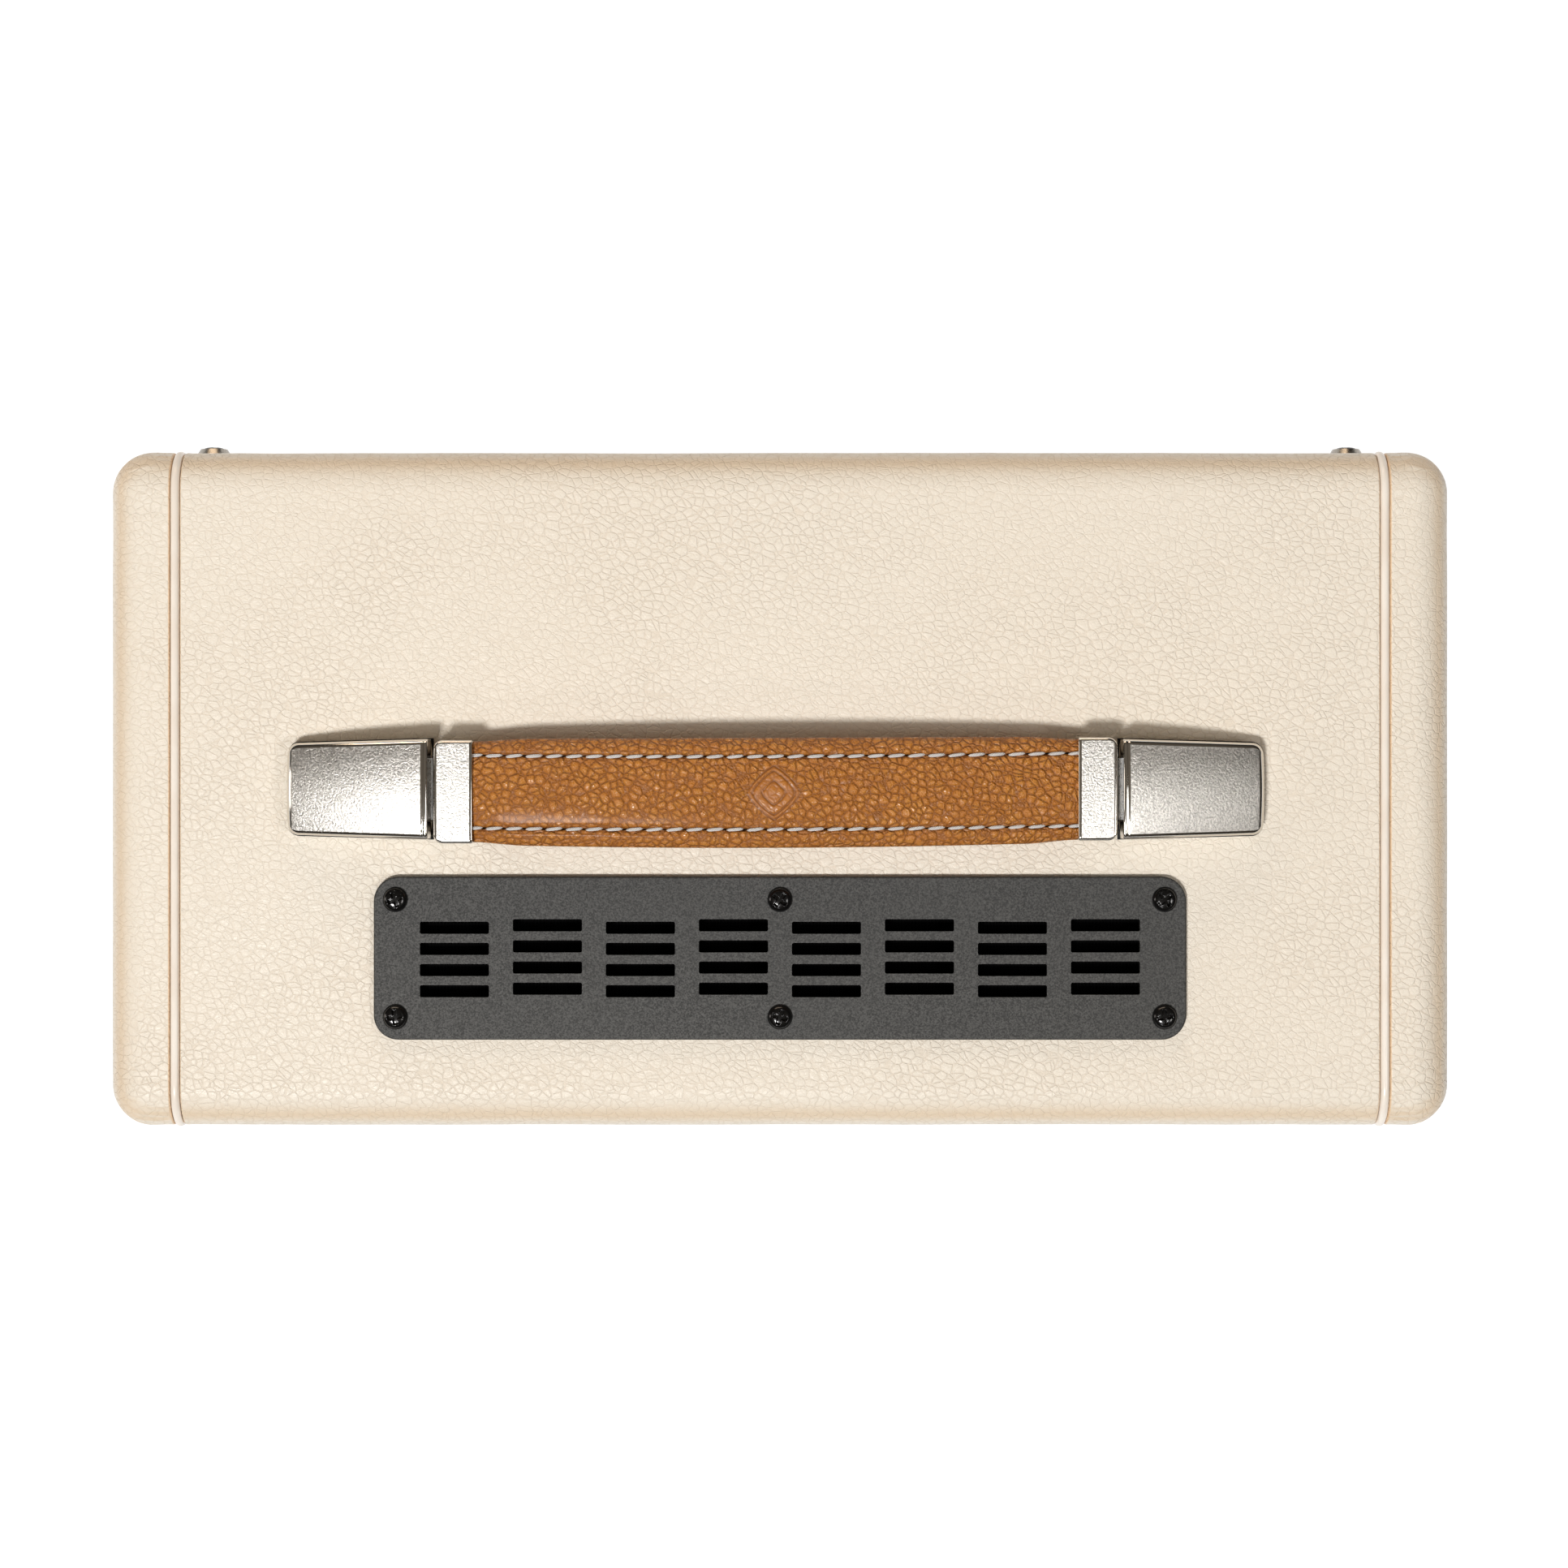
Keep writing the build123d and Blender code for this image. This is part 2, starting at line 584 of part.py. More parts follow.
# ==== Control panel and chassis =====================================================
bushed = [(VOLUME_X, CONTROL_Z), (TONE_X, CONTROL_Z), (BAND_X, CONTROL_Z), (TUNING_X, CONTROL_Z)]
TOGGLE_BUSH_R = 5.5
PILOT_R = 4.5
PANEL_SCREW_X = 153.6
PANEL_SCREW_ZS = (173.6, 222.4)

with BuildPart() as control_panel:
    with BuildSketch(upright(CHASSIS_FACE)):
        add(panel_sketch(Plane.XY, PANEL_HALF, PANEL_LOW, PANEL_HIGH))
        with Locations((DIAL_X, CONTROL_Z)):
            RectangleRounded(DIAL_W, DIAL_H, 3, mode=Mode.SUBTRACT)
        with Locations(*bushed):
            Circle(BUSH_R, mode=Mode.SUBTRACT)
        with Locations((SWITCH_X, SWITCH_Z)):
            Circle(TOGGLE_BUSH_R, mode=Mode.SUBTRACT)
        with Locations((SWITCH_X, PILOT_Z)):
            Circle(PILOT_R, mode=Mode.SUBTRACT)
        with Locations(*[(s * PANEL_SCREW_X, z) for s in (-1, 1) for z in PANEL_SCREW_ZS]):
            Circle(SHANK_R, mode=Mode.SUBTRACT)
    extrude(amount=PANEL_T)
save(control_panel, "control_panel")

CUTOUT_W, CUTOUT_LOW, CUTOUT_HIGH = 106.0, 178.0, 221.0
with BuildPart() as chassis:
    with BuildSketch(upright(CHASSIS_FACE + CHASSIS_T)):
        add(panel_sketch(Plane.XY, CHASSIS_HALF, CHASSIS_LOW, CHASSIS_FRONT_HIGH))
        with Locations((DIAL_X, (CUTOUT_LOW + CUTOUT_HIGH) / 2)):
            Rectangle(CUTOUT_W, CUTOUT_HIGH - CUTOUT_LOW, mode=Mode.SUBTRACT)
        with Locations(*bushed):
            Circle(BUSH_R, mode=Mode.SUBTRACT)
        with Locations((SWITCH_X, SWITCH_Z)):
            Circle(TOGGLE_BUSH_R, mode=Mode.SUBTRACT)
        with Locations((SWITCH_X, PILOT_Z)):
            Circle(PILOT_R, mode=Mode.SUBTRACT)
    extrude(amount=CHASSIS_T)
    floor_depth = CHASSIS_BACK - CHASSIS_FACE
    with Locations((0, CHASSIS_FACE + floor_depth / 2, CHASSIS_LOW + CHASSIS_T / 2)):
        Box(2 * CHASSIS_HALF, floor_depth, CHASSIS_T)
    with Locations(
        (0, CHASSIS_BACK - CHASSIS_T / 2, (CHASSIS_LOW + CHASSIS_BACK_HIGH) / 2)
    ):
        Box(2 * CHASSIS_HALF, CHASSIS_T, CHASSIS_BACK_HIGH - CHASSIS_LOW)
    # Guide posts of the dial cord.
    with BuildSketch(upright(CORD_Y + 1.4)):
        with Locations(
            (DIAL_X - POST_HALF, POST_Z),
            (DIAL_X + POST_HALF, POST_Z),
        ):
            Circle(POST_R)
    extrude(amount=CORD_Y + 1.4 - CHASSIS_FACE - CHASSIS_T)
save(chassis, "chassis")

PCB_LOW, PCB_T = 175.0, 1.6
PCB_TOP = PCB_LOW + PCB_T
with BuildPart() as circuit_board:
    with Locations((0, -27.0, PCB_LOW + PCB_T / 2)):
        Box(270, 54, PCB_T)
    with Locations(*[(x, y, CHASSIS_LOW + CHASSIS_T) for x in (-128, 128) for y in (-48, -6)]):
        Cylinder(3, PCB_LOW - CHASSIS_LOW - CHASSIS_T, align=(Align.CENTER, Align.CENTER, Align.MIN))
    with Locations((-104, -27, PCB_TOP)):
        Box(46, 40, 34, align=(Align.CENTER, Align.CENTER, Align.MIN))  # transformer core
    with Locations((-104, -27, PCB_TOP)):
        Box(30, 50, 26, align=(Align.CENTER, Align.CENTER, Align.MIN))  # its winding
    with Locations(*[(x, y, PCB_TOP) for x in (-66, -50) for y in (-38, -16)]):
        Cylinder(6.5, 22, align=(Align.CENTER, Align.CENTER, Align.MIN))  # capacitors
    with Locations(*[(-24 + 6 * fin, -30, PCB_TOP) for fin in range(5)]):
        Box(2, 34, 24, align=(Align.CENTER, Align.CENTER, Align.MIN))  # heat sink fins
    with Locations((-12, -30, PCB_TOP)):
        Box(26, 34, 4, align=(Align.CENTER, Align.CENTER, Align.MIN))
    with Locations((84, -36, PCB_TOP)):
        Box(18, 18, 3, align=(Align.CENTER, Align.CENTER, Align.MIN))
    with Locations((112, -12, PCB_TOP + 6)):
        Cylinder(5, 40, rotation=(0, 90, 0))  # ferrite rod aerial
save(circuit_board, "circuit_board")


def bushing():
    """A threaded bush with its nut; z = 0 is the panel's front face."""
    with BuildPart() as bush:
        with BuildSketch(Plane.XY.offset(-PANEL_T - CHASSIS_T)):
            Circle(BUSH_R)
        extrude(amount=PANEL_T + CHASSIS_T + BUSH_L)
        with BuildSketch():
            RegularPolygon(NUT_FLATS / 2, 6, major_radius=False)
        extrude(amount=NUT_T)
    return bush.part


def potentiometer():
    """A round control behind the panel, bored for its shaft."""
    back = -PANEL_T - CHASSIS_T
    with BuildPart() as pot:
        add(bushing())
        with BuildSketch(Plane.XY.offset(back)):
            Circle(8.5)
        extrude(amount=-9.0)
        with BuildSketch(Plane.XY.offset(back - 8.0)):
            Circle(BUSH_BORE)
        extrude(amount=30, mode=Mode.SUBTRACT)
        with Locations((0, -9.0, back - 4.5)):
            Box(10, 6, 1.4)  # solder tags
    return pot.part


def spindle_bush():
    """The tuning spindle's bearing: a bush with a flange behind the panel."""
    back = -PANEL_T - CHASSIS_T
    with BuildPart() as bearing:
        add(bushing())
        with BuildSketch(Plane.XY.offset(back)):
            Circle(6.0)
        extrude(amount=-1.2)
        with BuildSketch(Plane.XY.offset(back - 3)):
            Circle(BUSH_BORE)
        extrude(amount=30, mode=Mode.SUBTRACT)
    return bearing.part


with BuildPart() as control_pots:
    with Locations(*[facing_front(x, PANEL_FACE, CONTROL_Z) for x in (VOLUME_X, TONE_X, BAND_X)]):
        add(potentiometer())
    with Locations(facing_front(TUNING_X, PANEL_FACE, CONTROL_Z)):
        add(spindle_bush())
save(control_pots, "control_pots")


def fluted_knob(radius, height, flutes):
    """A knob that stands on z = 0 and points up, with a shaft bore and a nut recess."""
    with BuildPart() as knob:
        Cylinder(radius, height, align=(Align.CENTER, Align.CENTER, Align.MIN))
        fillet(knob.edges().group_by(Axis.Z)[-1], 1.6)
        with BuildSketch(Plane.XY.offset(3.0)):
            with PolarLocations(radius + 0.55, flutes):
                Circle(1.1)
        extrude(amount=height, mode=Mode.SUBTRACT)
        # Shallow dish in the front face, and the pointer groove.
        with BuildSketch(Plane.XY.offset(height - 0.8)):
            Circle(radius * 0.66)
        extrude(amount=2, mode=Mode.SUBTRACT)
        with Locations((0, radius * 0.8, height)):
            Box(1.2, radius * 0.5, 1.6, mode=Mode.SUBTRACT)
        Cylinder(7.0, 2 * 3.4, mode=Mode.SUBTRACT)
        Cylinder(SPINDLE_R, 2 * 10.2, mode=Mode.SUBTRACT)
    return knob.part


KNOB_BACK = PANEL_FACE - KNOB_GAP
SHAFT_TIP = KNOB_BACK - 10.2
SHAFT_TAIL = CHASSIS_FACE + CHASSIS_T + 7.8

for name, x in (("volume_knob", VOLUME_X), ("tone_knob", TONE_X), ("band_knob", BAND_X)):
    with BuildPart() as small_knob:
        with Locations(facing_front(x, KNOB_BACK, CONTROL_Z)):
            add(fluted_knob(KNOB_R, KNOB_H, 24))
        with Locations(facing_front(x, (SHAFT_TIP + SHAFT_TAIL) / 2, CONTROL_Z)):
            Cylinder(SPINDLE_R, SHAFT_TAIL - SHAFT_TIP)
    save(small_knob, name)

with BuildPart() as tuning_knob:
    with Locations(facing_front(TUNING_X, KNOB_BACK, CONTROL_Z)):
        add(fluted_knob(TUNING_KNOB_R, TUNING_KNOB_H, 36))
save(tuning_knob, "tuning_knob")

SPINDLE_TAIL = CORD_Y + 4.0
with BuildPart() as tuning_spindle:
    with Locations(facing_front(TUNING_X, (SHAFT_TIP + SPINDLE_TAIL) / 2, CONTROL_Z)):
        Cylinder(SPINDLE_R, SPINDLE_TAIL - SHAFT_TIP)
    with Locations(facing_front(TUNING_X, CORD_Y, CONTROL_Z)):
        Cylinder(CORD_SPINDLE_R, 2.0)
save(tuning_spindle, "tuning_spindle")


# ==== Power switch and pilot lamp =====================================================
PIVOT_OUT = 1.0  # the lever's pivot, in front of the panel
LEVER_L, LEVER_TILT = 12.0, 14.0  # it rests tilted down, switched off

with BuildPart() as power_switch:
    with Locations(facing_front(SWITCH_X, CHASSIS_FACE + CHASSIS_T, SWITCH_Z)):
        Box(13, 20, 12, align=(Align.CENTER, Align.CENTER, Align.MAX))
    with Locations(facing_front(SWITCH_X, PANEL_FACE, SWITCH_Z)):
        Cylinder(TOGGLE_BUSH_R, 5.0, align=(Align.CENTER, Align.CENTER, Align.MIN))
        Cylinder(
            TOGGLE_BUSH_R,
            PANEL_T + CHASSIS_T,
            align=(Align.CENTER, Align.CENTER, Align.MAX),
        )
        Cone(2.5, 4.3, 5.2, align=(Align.CENTER, Align.CENTER, Align.MIN), mode=Mode.SUBTRACT)
        Cylinder(2.5, 2.4, align=(Align.CENTER, Align.CENTER, Align.MAX), mode=Mode.SUBTRACT)
    with BuildSketch(upright(PANEL_FACE)):
        with Locations((SWITCH_X, SWITCH_Z)):
            RegularPolygon(7.2, 6, major_radius=False)
            Circle(TOGGLE_BUSH_R, mode=Mode.SUBTRACT)
    extrude(amount=2.4)
save(power_switch, "power_switch")

with BuildPart() as power_toggle:
    lever_place = Location(
        (SWITCH_X, PANEL_FACE - PIVOT_OUT, SWITCH_Z), (90 + LEVER_TILT, 0, 0)
    )
    with Locations(lever_place):
        Sphere(2.0)
        Cone(1.3, 2.5, LEVER_L, align=(Align.CENTER, Align.CENTER, Align.MIN))
        with Locations((0, 0, LEVER_L)):
            Sphere(2.5)
save(power_toggle, "power_toggle")

with BuildPart() as pilot_jewel:
    with Locations(facing_front(SWITCH_X, PANEL_FACE, PILOT_Z)):
        Cylinder(PILOT_R, 7.0, align=(Align.CENTER, Align.CENTER, Align.MAX))
        Cylinder(5.6, 2.0, align=(Align.CENTER, Align.CENTER, Align.MIN))
    with Locations(facing_front(SWITCH_X, PANEL_FACE - 2.0, PILOT_Z)):
        Cone(5.2, 3.0, 2.6, align=(Align.CENTER, Align.CENTER, Align.MIN))
save(pilot_jewel, "pilot_jewel")


# ==== Dial ==========================================================================
with BuildPart() as dial_window:
    with BuildSketch(upright(CHASSIS_FACE)):
        with Locations((DIAL_X, CONTROL_Z)):
            RectangleRounded(DIAL_W - 0.2, DIAL_H - 0.2, 2.9)
    extrude(amount=PANEL_T)
save(dial_window, "dial_window")

SCALE_TOP = 217.5
with BuildPart() as dial_scale:
    with BuildSketch(upright(CHASSIS_FACE + CHASSIS_T + 0.8)):
        with Locations((DIAL_X, (CUTOUT_LOW - 4 + SCALE_TOP) / 2)):
            Rectangle(CUTOUT_W + 3, SCALE_TOP - CUTOUT_LOW + 4)
    extrude(amount=0.8)
save(dial_scale, "dial_scale")

POINTER_Y = CHASSIS_FACE + 0.35
POINTER_LOW, POINTER_ARM = 182.5, 218.3
CORD_TOP = POST_Z + POST_R  # underside of the cord's top run
with BuildPart() as dial_pointer:
    with Locations((DIAL_X, POINTER_Y + 0.3, (POINTER_LOW + POINTER_ARM) / 2)):
        Box(1.2, 0.6, POINTER_ARM - POINTER_LOW)  # needle
    with Locations((DIAL_X, (POINTER_Y + CORD_Y + 0.4) / 2, POINTER_ARM)):
        Box(1.2, CORD_Y + 0.4 - POINTER_Y, 0.6)  # arm over the scale
    with Locations((DIAL_X, CORD_Y, (POINTER_ARM + CORD_TOP - 0.2) / 2)):
        Box(2.4, 0.8, CORD_TOP - 0.2 - POINTER_ARM)  # clip under the cord
save(dial_pointer, "dial_pointer")


def cord_hull(grow):
    """The outline that a cord makes round both posts, the spindle and the drum."""
    with BuildSketch(upright(CORD_Y + CORD_T / 2)) as hull:
        with Locations((DIAL_X - POST_HALF, POST_Z), (DIAL_X + POST_HALF, POST_Z)):
            Circle(POST_R + grow)
        with Locations((TUNING_X, CONTROL_Z)):
            Circle(CORD_SPINDLE_R + grow)
        with Locations((DIAL_X, DRUM_Z)):
            Circle(DRUM_R + grow)
        make_hull()
    return hull.sketch


CORD_CLEAR = 0.05
with BuildPart() as dial_cord:
    extrude(cord_hull(CORD_T + CORD_CLEAR), amount=CORD_T)
    extrude(cord_hull(CORD_CLEAR), amount=CORD_T, mode=Mode.SUBTRACT)
save(dial_cord, "dial_cord")

with BuildPart() as tuning_drum:
    with Locations(facing_front(DIAL_X, CORD_Y, DRUM_Z)):
        Cylinder(DRUM_R, 2.0)
        with PolarLocations(DRUM_R * 0.6, 6):
            Cylinder(4.5, 4.0, mode=Mode.SUBTRACT)
        Cylinder(6.0, 4.0)
    with Locations(facing_front(DIAL_X, CORD_Y + 7.0, DRUM_Z)):
        Cylinder(SPINDLE_R, 14.0)
save(tuning_drum, "tuning_drum")

GANG_FRONT = CORD_Y + 6.0
with BuildPart() as tuning_capacitor:
    with Locations((DIAL_X, GANG_FRONT, DRUM_Z)):
        Box(38, 34, 36.6, align=(Align.CENTER, Align.MIN, Align.CENTER))
    with BuildSketch(upright(GANG_FRONT + 9.0)):
        with Locations((DIAL_X, DRUM_Z)):
            Circle(BUSH_BORE)
    extrude(amount=12, mode=Mode.SUBTRACT)
save(tuning_capacitor, "tuning_capacitor")


# ==== Loudspeakers ===================================================================
FLANGE_R, CONE_R, COIL_R, COIL_T = 64.0, 51.6, 10.5, 0.6
POT_DEPTH = 34.0  # from the baffle's back to the basket's floor
MAGNET_T = 16.0


def speaker_frame():
    """A pressed basket on z = 0, opening upwards towards the listener."""
    with BuildPart() as basket:
        with BuildSketch(Plane.XZ):
            with BuildLine():
                Polyline(
                    (FLANGE_R, 0),
                    (52.0, 0),
                    (52.0, -3.0),
                    (33.0, -POT_DEPTH + 1.4),
                    (14.0, -POT_DEPTH + 1.4),
                    (14.0, -POT_DEPTH),
                    (34.0, -POT_DEPTH),
                    (54.0, -3.6),
                    (54.0, -1.4),
                    (FLANGE_R, -1.4),
                    close=True,
                )
            make_face()
        revolve(axis=Axis.Z)
        with Locations((0, 0, -POT_DEPTH / 2 - 2)):
            with PolarLocations(44.0, 6):
                Box(24, 20, 16, mode=Mode.SUBTRACT)
    return basket.part


def speaker_magnet():
    """Ring magnet with plates and pole piece, under the basket."""
    with BuildPart() as magnet:
        with BuildSketch(Plane.XZ):
            with BuildLine():
                Polyline(
                    (12.0, -POT_DEPTH),
                    (38.0, -POT_DEPTH),
                    (38.0, -POT_DEPTH - MAGNET_T),
                    (0, -POT_DEPTH - MAGNET_T),
                    (0, -POT_DEPTH + 2.0),
                    (9.6, -POT_DEPTH + 2.0),
                    (9.6, -POT_DEPTH - MAGNET_T + 4.0),
                    (12.0, -POT_DEPTH - MAGNET_T + 4.0),
                    close=True,
                )
            make_face()
        revolve(axis=Axis.Z)
    return magnet.part


def speaker_cone():
    """Paper cone with its roll surround, dust cap and voice coil tube."""
    with BuildPart() as cone:
        with BuildSketch(Plane.XZ):
            with BuildLine():
                TangentArc((0, -12.6), (14.0, -17.5), tangent=(1, 0))
                Polyline(
                    (14.0, -17.5),
                    (46.0, 0),
                    (49.0, 2.0),
                    (CONE_R, 0),
                    (CONE_R, -1.0),
                    (49.0, 0.8),
                    (46.4, -1.2),
                    (COIL_R + COIL_T, -20.4),
                    (COIL_R + COIL_T, -POT_DEPTH - 4.0),
                    (COIL_R, -POT_DEPTH - 4.0),
                    (COIL_R, -16.1),
                )
                TangentArc((0, -13.4), (COIL_R, -16.1), tangent=(1, 0))
                Line((0, -13.4), (0, -12.6))
            make_face()
        revolve(axis=Axis.Z)
    return cone.part


with BuildPart() as speaker_frames:
    with Locations(*[facing_front(x, BAFFLE_BACK, z) for x, z in speaker_places]):
        add(speaker_frame())
save(speaker_frames, "speaker_frames")

with BuildPart() as speaker_magnets:
    with Locations(*[facing_front(x, BAFFLE_BACK, z) for x, z in speaker_places]):
        add(speaker_magnet())
save(speaker_magnets, "speaker_magnets")

for name, x in (("left_cone", -SPEAKER_X), ("right_cone", SPEAKER_X)):
    with BuildPart() as paper_cone:
        with Locations(facing_front(x, BAFFLE_BACK, SPEAKER_Z)):
            add(speaker_cone())
    save(paper_cone, name)


# ==== Rear panel and its screws =====================================================
DOOR_GAP = 0.4
opening_low = HINGE_Z - HINGE_R - 0.8
opening_high = DOOR_HIGH + DOOR_GAP
opening_mid = (opening_low + opening_high) / 2
SOCKET_CUT_W, SOCKET_CUT_H = 108.0, 26.0


def rear_outline():
    """The rear panel's outline with its openings, on an upright plane's own axes."""
    with BuildSketch(Plane.XY) as outline:
        add(panel_sketch(Plane.XY, REAR_HALF, REAR_LOW, REAR_HIGH))
        with Locations((0, opening_mid)):
            Rectangle(2 * (DOOR_HALF + DOOR_GAP), opening_high - opening_low, mode=Mode.SUBTRACT)
        with Locations((0, SOCKET_Z)):
            Rectangle(SOCKET_CUT_W, SOCKET_CUT_H, mode=Mode.SUBTRACT)
        with Locations(*[(s * REAR_SCREW_X, z) for s in (-1, 1) for z in REAR_SCREW_ZS]):
            Circle(SHANK_R, mode=Mode.SUBTRACT)
        with Locations((0, SOCKET_Z)):
            with GridLocations(2 * SOCKET_SCREW_X, 2 * SOCKET_SCREW_Z, 2, 2):
                Circle(SHANK_R, mode=Mode.SUBTRACT)
    return outline.sketch


with BuildPart() as rear_panel:
    with BuildSketch(upright(REAR_BOARD_IN + PANEL_BOARD)):
        add(rear_outline())
    extrude(amount=PANEL_BOARD)
    with Locations(Location((0, HINGE_Y, HINGE_Z), (0, 90, 0))):
        Cylinder(HINGE_PIN_R + 0.05, 2 * (DOOR_HALF + 3.2), mode=Mode.SUBTRACT)
save(rear_panel, "rear_panel")

with BuildPart() as rear_panel_cover:
    with BuildSketch(upright(REAR_FACE)):
        add(rear_outline())
    extrude(amount=SKIN)
save(rear_panel_cover, "rear_panel_cover")

rear_screw_places = [
    facing_rear(s * REAR_SCREW_X, REAR_FACE, z) for s in (-1, 1) for z in REAR_SCREW_ZS
]


def cup_washer():
    """A pressed cup washer that stands on z = 0."""
    with BuildPart() as washer:
        with BuildSketch(Plane.XZ):
            with BuildLine():
                Polyline(
                    (SHANK_R, 0),
                    (CUP_R, 0),
                    (CUP_R, 0.5),
                    (3.6, CUP_H),
                    (3.3, CUP_H),
                    (SHANK_R, 0.5),
                    close=True,
                )
            make_face()
        revolve(axis=Axis.Z)
    return washer.part


def oval_screw():
    """A countersunk screw with a low dome, seated in a cup washer on z = 0."""
    with BuildPart() as screw:
        with BuildSketch(Plane.XZ):
            with BuildLine():
                Polyline((0, -14.0), (SHANK_R, -14.0), (SHANK_R, 0.5), (3.3, CUP_H))
                ThreePointArc((3.3, CUP_H), (2.0, CUP_H + 0.6), (0, CUP_H + 0.9))
                Line((0, CUP_H + 0.9), (0, -14.0))
            make_face()
        revolve(axis=Axis.Z)
        add(cross_recess(3.6, 1.1, CUP_H + 0.8), mode=Mode.SUBTRACT)
    return screw.part


with BuildPart() as rear_cup_washers:
    with Locations(*rear_screw_places):
        add(cup_washer())
save(rear_cup_washers, "rear_cup_washers")

with BuildPart() as rear_screws:
    with Locations(*rear_screw_places):
        add(oval_screw())
save(rear_screws, "rear_screws")


# ==== Battery bay, cells and door =====================================================
with BuildPart() as battery_bay:
    bay_mid = (BAY_LOW + BAY_HIGH) / 2
    with BuildSketch(upright(REAR_BOARD_IN)):
        with Locations((0, bay_mid)):
            Rectangle(2 * BAY_HALF + 14, BAY_HIGH - BAY_LOW + 14)
    extrude(amount=BAY_WALL)
    with BuildSketch(upright(REAR_BOARD_IN)):
        with Locations((0, bay_mid)):
            Rectangle(2 * BAY_HALF, BAY_HIGH - BAY_LOW)
    extrude(amount=BAY_DEEP)
    with BuildSketch(upright(REAR_BOARD_IN)):
        with Locations((0, bay_mid)):
            Rectangle(2 * (BAY_HALF - BAY_WALL), BAY_HIGH - BAY_LOW - 2 * BAY_WALL)
    extrude(amount=BAY_DEEP - BAY_WALL, mode=Mode.SUBTRACT)
save(battery_bay, "battery_bay")

with BuildPart() as battery_cells:
    cell_y = REAR_BOARD_IN - 21.5
    for row in (-1, 0, 1):
        for side in (-1, 1):
            x = side * (CELL_L / 2 + 2.0)
            with Locations(Location((x, cell_y, bay_mid + row * CELL_PITCH), (0, 90, 0))):
                Cylinder(CELL_R, CELL_L - 2)
            with Locations(
                Location((x + CELL_L / 2 - 1, cell_y, bay_mid + row * CELL_PITCH), (0, 90, 0))
            ):
                Cylinder(4.5, 2.0, align=(Align.CENTER, Align.CENTER, Align.MIN))
save(battery_cells, "battery_cells")

with BuildPart() as battery_door:
    with BuildSketch(upright(REAR_FACE)):
        with Locations((0, (HINGE_Z + DOOR_HIGH) / 2)):
            Rectangle(2 * DOOR_HALF, DOOR_HIGH - HINGE_Z)
        with Locations((0, DOOR_HIGH)):
            SlotOverall(24, 9, mode=Mode.SUBTRACT)
    extrude(amount=DOOR_T)
    with Locations(Location((0, HINGE_Y, HINGE_Z), (0, 90, 0))):
        Cylinder(HINGE_R, 2 * DOOR_HALF)
        Cylinder(HINGE_PIN_R, 2 * (DOOR_HALF + 2.8))
    # Raised ribs that stiffen the door and give a thumb some grip.
    with BuildSketch(upright(REAR_FACE + 0.6)):
        with Locations((0, DOOR_HIGH - 16)):
            with GridLocations(0, 4, 1, 4):
                SlotOverall(60, 1.6)
    extrude(amount=0.8)
save(battery_door, "battery_door")


# ==== Rear sockets ====================================================================
with BuildPart() as connector_plate:
    with BuildSketch(upright(REAR_FACE + SOCKET_PLATE_T)):
        with Locations((0, SOCKET_Z)):
            RectangleRounded(SOCKET_PLATE_W, SOCKET_PLATE_H, 3)
            with GridLocations(2 * SOCKET_SCREW_X, 2 * SOCKET_SCREW_Z, 2, 2):
                Circle(SHANK_R, mode=Mode.SUBTRACT)
        with Locations((INLET_X, SOCKET_Z)):
            Rectangle(24, 13, mode=Mode.SUBTRACT)
        with Locations((AUX_X, SOCKET_Z), (PHONES_X, SOCKET_Z)):
            Circle(4, mode=Mode.SUBTRACT)
    extrude(amount=SOCKET_PLATE_T)
save(connector_plate, "connector_plate")

with BuildPart() as plate_screws:
    with Locations(
        *[facing_front(s * PANEL_SCREW_X, PANEL_FACE, z) for s in (-1, 1) for z in PANEL_SCREW_ZS]
    ):
        add(pan_screw(shank_l=PANEL_T))
    with Locations(
        *[
            facing_rear(sx * SOCKET_SCREW_X, REAR_FACE + SOCKET_PLATE_T, SOCKET_Z + sz * SOCKET_SCREW_Z)
            for sx in (-1, 1)
            for sz in (-1, 1)
        ]
    ):
        add(pan_screw(shank_l=SOCKET_PLATE_T + PANEL_BOARD))
save(plate_screws, "plate_screws")

SOCKET_OUT = REAR_FACE + SOCKET_PLATE_T + 0.8
SOCKET_DEEP, INLET_DEPTH, JACK_DEPTH = 18.0, 12.0, 14.0
with BuildPart() as rear_sockets:
    with BuildSketch(upright(SOCKET_OUT)):
        with Locations((INLET_X, SOCKET_Z)):
            Rectangle(24, 13)
        with Locations((AUX_X, SOCKET_Z), (PHONES_X, SOCKET_Z)):
            Circle(4)
    extrude(amount=SOCKET_DEEP)
    with BuildSketch(upright(SOCKET_OUT)):
        with Locations((INLET_X, SOCKET_Z)):
            SlotOverall(16.4, 8.4)
    extrude(amount=INLET_DEPTH, mode=Mode.SUBTRACT)
    with BuildSketch(upright(SOCKET_OUT)):
        with Locations((AUX_X, SOCKET_Z), (PHONES_X, SOCKET_Z)):
            Circle(JACK_BORE_R)
    extrude(amount=JACK_DEPTH, mode=Mode.SUBTRACT)
    with BuildSketch(upright(SOCKET_OUT - 2)):
        with Locations((INLET_X - 4.3, SOCKET_Z), (INLET_X + 4.3, SOCKET_Z)):
            Circle(1.2)
    extrude(amount=INLET_DEPTH - 2)
save(rear_sockets, "rear_sockets")


